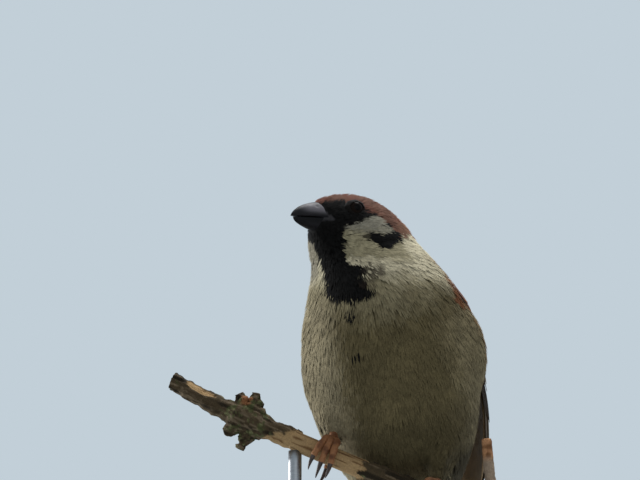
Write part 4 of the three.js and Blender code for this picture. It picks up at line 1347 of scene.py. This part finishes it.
def wing_rows():
    """Every feather of a closed wing: style, root and tip as (t, share), width, height above the shell."""
    feathers = []

    def row(style, count, shares, root_shares, tips, length, wide, out, drop=0.0):
        for k in np.linspace(0, 1, count):
            tip = (mix(*tips, k), mix(*shares, k))
            reach = mix(*length, k) if isinstance(length, tuple) else length
            root = (tip[0] - reach, mix(*root_shares, k))
            feathers.append((style, root, tip, wide, out - drop * k))

    row("primary", 8, (0.68, 0.46), (0.98, 0.62), (0.8, 1.0), (0.4, 0.62), 4.6, -0.3, 0.1)
    row("secondary", 6, (0.9, 0.42), (0.9, 0.5), (0.66, 0.76), (0.4, 0.46), 4.6, 0.0, -0.05)
    row("tertial", 3, (0.42, 0.2), (0.42, 0.16), (0.68, 0.8), (0.34, 0.42), 7.0, 0.25, -0.35)
    row("primary_covert", 5, (0.97, 0.84), (0.95, 0.88), (0.5, 0.56), 0.2, 3.0, 0.15, -0.15)
    row("alula", 3, (0.96, 0.86), (0.94, 0.9), (0.36, 0.44), (0.16, 0.22), 3.2, 0.35, -0.15)
    row("greater", 9, (0.94, 0.06), (0.92, 0.1), (0.4, 0.5), 0.21, 4.4, 0.5, -0.2)
    row("median", 8, (0.92, 0.06), (0.9, 0.1), (0.27, 0.36), 0.12, 4.6, 0.8, -0.15)
    for k, tip in enumerate((0.25, 0.205, 0.16, 0.115, 0.07)):
        wide = (0.94, 0.08 + 0.05 * k)
        row("lesser", 8, wide, wide, (tip, tip + 0.05), 0.085, 3.8, 1.0 + 0.1 * k)
    return feathers


def feather_on_wing(side, index, feather):
    style, root, tip, wide, out = feather
    rows = 20 if wide * (tip[0] - root[0]) > 1 else 12
    s = np.linspace(0, 1, rows)
    t = mix(root[0], tip[0], s)
    share = mix(root[1], tip[1], s**0.8)
    tucked = 1.5 * smooth(t, 0.12, -0.02) + smooth(share, 0.75, 1) * mix(0.6, 1.2, smooth(t, 0.5, 0.35))
    lift = out + 0.25 * s - tucked
    centres = wing_point(side, t, share, lift)
    normals = unit(wing_point(side, t, share, lift + 1) - centres)
    half = rounded_blade(rows, wide * (0.94 + 0.12 * rng.random()), root=0.5 if wide < 5 else 0.4)
    radius = SHELL_WIDE * shell_taper(WING_BEND - tip[0] * WING_LENGTH)
    return vane_mesh(centres, normals, half, radius, STYLES[style], index)


def tiled(flats):
    """One map from each feather's own, as squares of a grid."""
    across = math.ceil(math.sqrt(len(flats)))
    squares = [np.array([i % across, i // across]) + 0.06 + 0.88 * flat for i, flat in enumerate(flats)]
    return np.concatenate(squares) / across


def join_feathers(name, feathers, material, nodes):
    tints, flats = ([feather[k] for feather in feathers] for k in (2, 3))
    points, faces = joined([feather[:2] for feather in feathers])
    maps = {"OFBake": tiled(flats), "vane": np.concatenate(flats)}
    piece = make_object(name, points, faces, material, "flight_feathers", np.concatenate(tints), maps)
    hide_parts(*nodes)


WING_GROUPS = {
    "coverts": ("lesser", "median"),
    "secondaries": ("greater", "secondary", "tertial", "alula", "primary_covert"),
    "primaries": ("primary",),
}


def make_wings(material):
    for name, side in SIDES.items():
        rows = list(enumerate(wing_rows()))
        for group, styles in WING_GROUPS.items():
            feathers = [feather_on_wing(side, i, f) for i, f in rows if f[0] in styles]
            if group == "primaries":
                feathers.append(wing_lining(side))
            join_feathers(f"wing_{group}_{name}_feathers", feathers, material, [f"wing_{group}_{name}"])


def wing_lining(side):
    """The body of the folded wing under its feathers: a thin closed leaf."""
    t = np.linspace(0.015, 0.9, 26)[:, None]
    c = np.linspace(-1, 1, 12)[None]
    share = 0.5 + 0.44 * c * np.minimum(1, 6 * t + 0.3)
    thick = 0.55 * np.sqrt(1 - 0.9 * c * c) * np.minimum(1, 8 * t + 0.3) * np.minimum(1, 4 * (0.95 - t))
    level = -1.35 * smooth(t, 0.55, 0.1) - 0.95 * smooth(t, 0.1, 0.55) + 0.9 * smooth(t, 0.3, 0.05)
    t = np.broadcast_to(t, share.shape)
    upper = wing_point(side, t, share, level + thick)
    under = wing_point(side, t, share, level - thick)
    points, faces = tube(np.concatenate([upper, under[:, ::-1]], 1))
    tint = np.tile(rgb("#8d7657"), (len(points), 1)) * (1 + 0.1 * noise(points, 1.0, 5))[:, None]
    return points, faces, tint, fitted(TRUNK.local(points)[:, [0, 1]])


TAIL_LENGTH, TAIL_WIDE = 54, 13.5
TAIL_BEND = 9.0  # radius that the tail's feathers bend round, across


def tail_feather(side, i):
    """One of twelve: i is 0 in the middle of the tail and 5 at its edge."""
    rows = 24
    s = np.linspace(0, 1, rows)
    reach = TAIL_LENGTH - 3.2 + 0.55 * i
    across = side * mix(0.25 + 0.22 * i, 0.9 + 0.82 * i, smooth(s, 0, 1))
    roof = 1.1 * (1 - (across / (TAIL_WIDE / 2)) ** 2)
    height = roof + 0.75 - 0.22 * i - 0.35 * s
    centres = TAIL.at(-s * reach, across, height)
    normals = np.tile(TAIL.up, (rows, 1))
    half = rounded_blade(rows, 4.6, root=0.5, blunt=3.2, tip_from=0.86)
    style = STYLES["tail_middle" if i == 0 else "tail"]

    def outwards_style(s, c, seed):
        return style(s, side * c, seed)

    return vane_mesh(centres, normals, half, TAIL_BEND, outwards_style, 100 + i * 2 + (side > 0))


def make_tail(material):
    feathers = [tail_feather(side, i) for side in (1, -1) for i in range(6)]
    join_feathers("tail_feathers", feathers, material, ["tail"])


# ---- bill and eyes

NOSTRIL = (13.1, 2.3)  # ahead and up from the head's origin
BILL_GAP = 0.07  # from the gape line to each half
BILL_TONES_AND_HIGHLIGHTS = {1: ("#151416", "#6c6a70"), -1: ("#0c0c0d", "#19181a")}  # of each half, and of the painted highlight along its flanks


def bill_half(which):
    """One half of the bill: a keeled shell with a flat side at the gape."""
    start = BILL_ROOT + 0.6
    stations = mix(start, bill_tip(which), 1 - (1 - np.linspace(0, 1, 44)) ** 1.25)
    angle = np.linspace(0, np.pi, 30)[None]
    ahead = stations[:, None] + 0 * angle
    gape, depth, half = bill_shape(ahead, which)
    gape = gape + which * BILL_GAP
    from_edge = np.minimum(angle, np.pi - angle)
    ridge = np.sin(angle) ** (0.95 if which > 0 else 0.8)
    keel = 0.16 * bell(angle - np.pi / 2, 0.22) * (which > 0) * smooth(ahead, 20.5, 17)
    out = 1 + 0.1 * bell(from_edge, 0.2) * smooth(ahead, 20, 15)
    sink = 1 - 0.05 * bell(ahead - NOSTRIL[0], 0.5) * bell(from_edge - 0.8, 0.16) * (which > 0)
    curved = HEAD.at(ahead, half * np.cos(angle) * out * sink, gape + which * (depth * ridge * sink + keel))
    flat = HEAD.at(
        np.repeat(stations[:, None], 6, 1),
        half[:, :1] * out[:, :1] * np.linspace(-1, 1, 8)[None, 1:-1],
        np.repeat(gape[:, :1], 6, 1),
    )
    points, faces = tube(np.concatenate([curved, flat], 1))
    h = HEAD.local(points)
    rise = np.abs(h[:, 2] - bill_shape(h[:, 0], which)[0])
    # painted highlight: a paler band along the flank of each half, as light from above
    flank = smooth(rise, 0.7, 2.0) * smooth(rise, 4.6, 3.0) * smooth(h[:, 0], 18.5, 14.5)
    tint = two_tones(*BILL_TONES_AND_HIGHLIGHTS[which], flank)
    # painted shade: the nostril is painted near black, as the shade in its opening
    nostril_shade = bell(h[:, 0] - NOSTRIL[0], 0.45) * bell(h[:, 2] - NOSTRIL[1], 0.3) * (which > 0)
    return points, faces, mix(tint, rgb("#0c0b0c"), 0.8 * nostril_shade[:, None])


def make_bill(material):
    for name, which in (("bill_upper", 1), ("bill_lower", -1)):
        points, faces, tint = bill_half(which)
        piece = make_object(name + "_horn", points, faces, material, "bill", tint)
        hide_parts(name)


PUPIL = 0.39  # radians from the eye's axis


def make_eyes(material):
    for name, side in SIDES.items():
        out, centre = eye_direction(side), eye_place(side)
        ahead = unit(squared_to(HEAD.forward, out))
        form = ball(36, 48, 0.06)
        bulge = EYE_RADIUS * (1 + 0.02 * smooth(np.arccos(form[..., 2:]), 0.8, 0.0))
        points, faces = tube(centre + bulge * form @ np.array([ahead, np.cross(out, ahead), out]))
        turn = np.arccos(np.clip(unit(points - centre) @ out, -1, 1))
        tint = two_tones("#050404", "#180f0a", smooth(turn, PUPIL - 0.03, PUPIL + 0.03))
        piece = make_object(f"eye_{name}_ball", points, faces, material, "eye", tint)
        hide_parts(f"eye_{name}")


# ---- legs


PALM_RADIUS = 1.42
TOE_ROWS = 60


def toe_track(side, toe):
    """Places and headings along a toe, from the ball of the foot round the perch."""
    points = [ball_of(side)]
    for share in (0.22, 0.45, 0.7, 1):  # the toe's joints
        out = TOE_RADIUS + 0.9 * smooth(share, 0.7, 1)
        shift = -side * mix(toe["root"], toe["tip"], share)
        points.append(around_perch(side, shift, mix(-10, toe["wrap"], share), out))
    return spline(points, TOE_ROWS)


def scutes(s, number, height):
    """Steps like overlapping plates along a limb, as shares of its radius."""
    return 1 + height * ((s * number) % 1 - 0.5)


TOE_ROOM = 0.02  # the least left between toes and perch


def away_from_perch(points):
    """Pushes the parts of a foot that would sink into the perch out of it."""
    here, slope = slope_of(perch_distance, points, 0.05)
    return points + np.maximum(TOE_ROOM - here, 0)[:, None] * unit(slope)


def leg_parts(side):
    """The shank, the toes and the ball between them."""
    shank, heading = spline([mix(ball_of(side), ankle_of(side), s) for s in (0, 0.3, 0.6, 1)], 70)
    s = np.linspace(0, 1, 70)
    radius = TARSUS_RADIUS * (1.25 - 0.35 * smooth(s, 0, 0.3) + 0.5 * smooth(s, 0.75, 1)) * scutes(s, 9, 0.1)
    parts = [round_tube(shank, heading, radius, 22)]
    s = np.linspace(0, 1, TOE_ROWS)
    pads = TOE_RADIUS * (1.08 - 0.28 * s + 0.09 * np.cos(s * 6 * np.pi)) * scutes(s, 12, 0.11)
    pads = pads * np.minimum(1, 0.7 + 8 * (1 - s))
    parts += [round_tube(*toe_track(side, toe), pads, 18) for toe in TOES.values()]
    return parts + [tube(ball_of(side) + PALM_RADIUS * ball(18, 24, 0.1))]


def make_legs(skin_finish, claw_finish):
    for name, side in SIDES.items():
        points, faces = joined(leg_parts(side))
        points = away_from_perch(points)
        tint = two_tones("#65412c", "#a3734f", smooth(noise(points, 1.4, 31), -0.4, 0.5))
        piece = make_object(f"leg_{name}_scaled", points, faces, skin_finish, "leg_skin", tint)
        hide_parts(f"leg_{name}")
        for toe_name, toe in TOES.items():
            make_claw(side, f"claw_{toe_name}_{name}", toe, claw_finish)


CLAW_SUNK = 0.25  # how far a claw's root lies inside its toe


def make_claw(side, name, toe, material):
    track, headings = toe_track(side, toe)
    heading = headings[-1]
    start = track[-1] - heading * CLAW_SUNK
    inwards = unit(squared_to(perch_point(grip_along(side), 0, 0) - start, heading))
    length = toe["claw"] + CLAW_SUNK
    s = np.linspace(0, 1, 22)[:, None]
    middle = start + heading * length * 0.55
    tip = start + heading * length * 0.9 + inwards * length * 0.28
    hook = (1 - s) ** 2 * start + 2 * s * (1 - s) * middle + s * s * tip
    radius = 0.6 * (1 - s[:, 0]) ** 0.75 * (1 + 0.1 * s[:, 0]) + 0.05
    points, faces = round_tube(hook, unit(np.gradient(hook, axis=0)), radius, 14)
    piece = make_object(name + "_horn", points, faces, material, "claw")
    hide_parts(name)


# ---- perch

SPURS = [([-0.4, 1.4, 7.4], 2.6), ([-4.8, 1.2, 5.1], 2.3), ([3.2, 1.6, 4], 2.4)]
SPURS += [([-4.2, 1.4, -5.4], 2.3), ([1.4, 0.6, -7.6], 1.9)]
BRANCH_ROWS, BRANCH_SIDES = 330, 64
TWIG_ALONG, TWIG_HEIGHT, TWIG_RADIUS = 48.5, 22, 1.45
TWIG_BEND, TWIG_LEAN = (-1.6, -0.4), (-2.2, -0.8)  # how far it goes over by half its height and by its tip
SPUR_ROUGHNESS, TWIG_ROUGHNESS, TOP_ROUGHNESS = 2.6, 0.9, 0.65
SPUR_LICHEN, TWIG_LICHEN, LEAST_LICHEN = 0.9, 0.2, 0.25
BARK_SLANT = 4.4  # how far the bark's right edge runs back from the branch's top to its underside
BARK_SLANT_TURN = math.radians(20)  # where that edge lies furthest out, from the top towards the front
KNOT_SCAR = (KNOT_ALONG - 1.9, 3.4, 4.6)  # pale torn wood between two spurs
BARE_STRIP = (-38.5, 48)  # bark gone near the cut end: along, and degrees from the top towards the front


def bark_share(along, angle):
    """1 on bark, 0 on bare wood, with a ragged edge round the branch."""
    ring = np.stack(np.broadcast_arrays(np.cos(angle) * 2.4, np.sin(angle) * 2.4, along * 0.35), -1)
    ragged = 2.2 * noise(ring, 1.3, 51) + 1.2 * noise(ring, 0.5, 52)
    right_edge = BARK_EDGES[0] - BARK_SLANT * (1 - np.cos(angle - BARK_SLANT_TURN))
    bark = smooth(np.maximum(right_edge - along, along - BARK_EDGES[1]) + ragged, -0.25, 0.25)
    from_strip = np.hypot((along - BARE_STRIP[0]) / 5, (np.degrees(angle) - BARE_STRIP[1]) / 34)
    return bark * smooth(from_strip + 0.12 * ragged, 0.8, 1.0)


def grained(points, stretch):
    """Places in the perch's own directions, with lengths along it made shorter."""
    along, front, up = perch_local(points)
    return np.stack([along * stretch, up, front], -1)


def roughened(points, normals, amount):
    """Lumps, ridges and cracks of bark, as a shift along the normals."""
    ridges = 1 - np.abs(noise(grained(points, 0.16), 0.9, 61)) * 2
    lumps = noise(points, 1.8, 62) * smooth(amount, 1.0, 2.4)
    fine = noise(points, 0.45, 63) + 3 * smooth(amount, 1.6, 2.6) * np.maximum(noise(points, 1.2, 64), 0)
    return points + normals * (amount * (0.2 * ridges + 0.24 * lumps + 0.08 * fine))[:, None]


def branch_tint(points, bark, lichen_near):
    """Grey-brown bark with pale lichen crusts, or tan wood with darker grain."""
    grain = grained(points, 0.12)
    wood = two_tones("#b2956c", "#745739", smooth(noise(grain, 0.5, 71), 0.2, 0.7))
    skin = two_tones("#504432", "#2e271c", smooth(noise(grain, 1.1, 72), -0.2, 0.4))
    skin = mix(skin, rgb("#857660"), 0.7 * smooth(noise(grain, 0.55, 73), 0.15, 0.5)[:, None])
    spread = noise(points, 1.3, 74) + 0.5 * noise(points, 0.5, 75)
    crust = smooth(spread, 0.95 - 0.9 * lichen_near, 1.15 - 0.85 * lichen_near)
    lichen = two_tones("#4c5131", "#84865e", smooth(noise(points, 0.6, 76), -0.1, 0.7))
    skin = mix(skin, lichen, 0.85 * crust[:, None])
    from_scar = magnitude(points - perch_point(*KNOT_SCAR)) + 0.7 * noise(points, 0.8, 77)
    skin = mix(skin, rgb("#946442"), 0.9 * smooth(from_scar, 1.9, 1.3)[:, None])
    return mix(wood, skin, np.asarray(bark)[..., None])


def main_branch():
    """Points, faces and share of bark of the branch itself, without spurs and twig."""
    along = np.linspace(PERCH_START, PERCH_END, BRANCH_ROWS)[:, None]
    angle = turns(BRANCH_SIDES)[None]
    bark = bark_share(along, angle)
    radius = perch_radius(along) + BARK_THICKNESS * (bark - has_bark(along)) - 0.1
    rings = perch_point(along + 0 * angle, radius * np.sin(angle), radius * np.cos(angle))
    points, faces = tube(rings)
    bark = np.append(bark.ravel(), [1.0, 1.0])
    middle = perch_point(along + 0 * angle, 0 * radius, 0 * radius).reshape(-1, 3)
    middle = np.concatenate([middle, points[-2:] - PERCH_ALONG * np.array([[1], [-1]])])
    points = roughened(points, unit(points - middle), 0.25 + 1.1 * bark)
    return points, faces, bark


def out_from(track, points):
    """The way out from a limb's middle line at each of its points."""
    nearest = track[np.argmin(magnitude(points[:, None] - track[None]), 1)]
    return unit(points - nearest + 1e-6)


def spur(lean, radius):
    root = perch_point(KNOT_ALONG, 0, 0)
    tip = perch_point(KNOT_ALONG + lean[0], *lean[1:])
    bend = mix(root, tip, 0.6) + PERCH_ALONG * 0.5
    track, heading = spline([root, bend, tip], 30)
    s = np.linspace(0, 1, 30)
    points, faces = round_tube(track, heading, radius * (1 - 0.7 * s * s), 26, up=PERCH_FRONT)
    return roughened(points, out_from(track, points), SPUR_ROUGHNESS), faces


def twig():
    """Points and faces of the upright twig, and which points are near its top."""
    foot = perch_point(TWIG_ALONG, 0, 0) + [0, 0, perch_radius(TWIG_ALONG) - 1]
    bend = foot + [*TWIG_BEND, TWIG_HEIGHT * 0.5]
    tip = foot + [*TWIG_LEAN, TWIG_HEIGHT]
    track, heading = spline([foot - [0, 0, 1], bend, tip], 90)
    s = np.linspace(0, 1, 90)
    radius = TWIG_RADIUS * (1.25 - 0.4 * smooth(s, 0.3, 0.6)) * (1 - 0.12 * smooth(s, 0.97, 1))
    points, faces = round_tube(track, heading, radius, 30, up=PERCH_FRONT)
    top = smooth(points[:, 2], tip[2] - 6.5, tip[2] - 4)
    return roughened(points, out_from(track, points), mix(TWIG_ROUGHNESS, TOP_ROUGHNESS, top)), faces, top


def make_perch(material):
    points, faces, bark = main_branch()
    knot = smooth(magnitude(points - perch_point(KNOT_ALONG, 0, 0)), 13, 5)
    parts = [(points, faces)]
    tints = [branch_tint(points, bark, np.maximum(knot, LEAST_LICHEN))]
    for lean, radius in SPURS:
        parts.append(spur(lean, radius))
        tints.append(branch_tint(parts[-1][0], 1, SPUR_LICHEN))
    points, faces, top = twig()
    parts.append((points, faces))
    pale = mix(branch_tint(points, 1, TWIG_LICHEN), rgb("#c2ad97"), 0.6)
    tan = two_tones("#bd8d66", "#7c563a", smooth(noise(points, 1.2, 81), -0.2, 0.5))
    tints.append(mix(pale, tan, top[:, None]))
    piece = make_object("perch_branch", *joined(parts), material, "branch", np.concatenate(tints))
    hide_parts("perch")


# ---- stand

BASE_RADIUS, BASE_HEIGHT = 44, 12
ROD_RADIUS, ROD_ON_PERCH = 1.75, -9


def circle(sides):
    """Points of a level circle of radius 1."""
    angle = turns(sides)
    return np.stack([np.cos(angle), np.sin(angle), 0 * angle], -1)


def turned_solid(profile, sides):
    """A closed solid of revolution round Z through (radius, height) stops."""
    return tube(np.array([circle(sides) * radius + [0, 0, height] for radius, height in profile]))


def make_stand(wood, metal):
    edge = [(math.sin(a), math.cos(a)) for a in np.linspace(0, np.pi / 2, 7)]
    bevel = [(BASE_RADIUS - 1.5 + 1.5 * x, BASE_HEIGHT - 1.5 + 1.5 * y) for x, y in edge]
    groove = [(BASE_RADIUS, 4.2), (BASE_RADIUS - 0.5, 3.9), (BASE_RADIUS - 0.5, 3.3), (BASE_RADIUS, 3.0)]
    foot = [(BASE_RADIUS, 0.5), (BASE_RADIUS - 0.15, 0.15), (BASE_RADIUS - 0.5, 0)]
    rings = [(r, BASE_HEIGHT) for r in (2, 20, 36, 41.5)] + bevel + groove + foot + [(30, 0), (2, 0)]
    base = make_object("stand_base_turned", *turned_solid(rings, 128), wood, "stand_wood")
    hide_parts("stand_base")

    top = perch_point(ROD_ON_PERCH, 0, 0)
    height = top[2] - perch_radius(ROD_ON_PERCH) - 0.1
    stops = [(ROD_RADIUS + 1.1, BASE_HEIGHT), (ROD_RADIUS + 1.1, BASE_HEIGHT + 1.4)]
    stops += [(ROD_RADIUS + 0.8, BASE_HEIGHT + 1.7), (ROD_RADIUS, BASE_HEIGHT + 1.8)]
    stops += [(ROD_RADIUS, z) for z in np.linspace(BASE_HEIGHT + 2.2, height, 30)]
    points, faces = turned_solid(stops, 48)
    rod = make_object("stand_rod_steel", points + [top[0], top[1], 0], faces, metal, "stand_metal")
    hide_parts("stand_rod")


# ---- studio

VIEW = {"azimuth": 22, "elevation": -20, "distance": 450, "width": 171}
VIEW_TARGET = np.array([-13.15, -20.0, 169.8])
SENSOR = 36.0
SKY = "#c2cfd8"


def make_camera():
    camera = bpy.data.cameras.new("camera")
    camera.sensor_width = SENSOR
    camera.lens = SENSOR * VIEW["distance"] / VIEW["width"]
    camera.clip_start, camera.clip_end = 0.01, 50
    az, el = math.radians(VIEW["azimuth"]), math.radians(VIEW["elevation"])
    back = np.array([math.sin(az) * math.cos(el), -math.cos(az) * math.cos(el), math.sin(el)])
    right = np.array([math.cos(az), math.sin(az), 0])
    seen = add_object("camera", camera)
    turn = np.stack([right, np.cross(back, right), back], 1)
    place = (VIEW_TARGET + back * VIEW["distance"]) * MM
    matrix = np.eye(4)
    matrix[:3, :3], matrix[:3, 3] = turn, place
    seen.matrix_world = Matrix(matrix.tolist())
    bpy.context.scene.camera = seen


# Softboxes: where each stands, its size, and its power. They all face the bird.
LAMPS = {
    "key": {"place": (-2.9, -0.1, 0.5), "size": 1.0, "watts": 72.0},
    "top": {"place": (0.2, 0.5, 3.0), "size": 2.0, "watts": 95.0},
    "fill": {"place": (1.6, -2.0, 0.7), "size": 2.0, "watts": 4.5},
}
WORLD_STRENGTH = 0.24


def make_lamps():
    for name, lamp in LAMPS.items():
        light = bpy.data.lights.new("lamp_" + name, "AREA")
        light.shape, light.size, light.energy = "DISK", lamp["size"], lamp["watts"]
        stand = add_object("lamp_" + name, light)
        stand.location = lamp["place"]
        toward = Vector(CENTRE * MM) - stand.location
        stand.rotation_euler = toward.to_track_quat("-Z", "Y").to_euler()


def make_world():
    """Even studio light, with a pale sky colour where the camera, gloss and glass look past the object."""
    world = bpy.data.worlds.new("studio")
    n = Nodes(world)
    n.tree.nodes.clear()
    kinds = ("Camera", "Glossy", "Transmission")
    camera, gloss, glass = (n.add("ShaderNodeLightPath", out=f"Is {kind} Ray") for kind in kinds)
    past = n.math("MAXIMUM", n.math("MAXIMUM", camera, gloss), glass)
    light = n.add("ShaderNodeBackground", {"Color": (1, 1, 1, 1), "Strength": WORLD_STRENGTH})
    sky = n.add("ShaderNodeBackground", {"Color": (*rgb(SKY), 1)})
    n.add("ShaderNodeOutputWorld", {0: n.add("ShaderNodeMixShader", {0: past, 1: light, 2: sky})})
    bpy.context.scene.world = world


FLOOR_RADIUS, FLOOR_SIDES = 0.9, 96  # in metres


def make_floor():
    """A round pale floor under the stand."""
    n = material_nodes("floor_pale")
    material = n.finish(n.blend(n.noise(90), "#a3a9ad", "#abb1b5"), 0.95, Specular_IOR_Level=0.0)
    mesh = bpy.data.meshes.new("floor")
    mesh.from_pydata((circle(FLOOR_SIDES) * FLOOR_RADIUS).tolist(), [], [list(range(FLOOR_SIDES))])
    mesh.materials.append(material)
    floor = add_object("floor", mesh)


def main():
    bpy.context.scene.view_settings.view_transform = "Standard"
    make_camera()
    make_lamps()
    make_world()
    make_floor()
    plumage = plumage_material()
    vanes = vane_material()
    net = surface_net(skin_field, SKIN_LOW, SKIN_HIGH, SKIN_CELL)
    make_skin(net, plumage)
    make_coat(net, plumage)
    make_wings(vanes)
    make_tail(vanes)
    make_bill(bill_material())
    make_eyes(eye_material())
    make_legs(leg_material(), claw_material())
    make_perch(branch_material())
    make_stand(stand_wood_material(), stand_metal_material())


main()
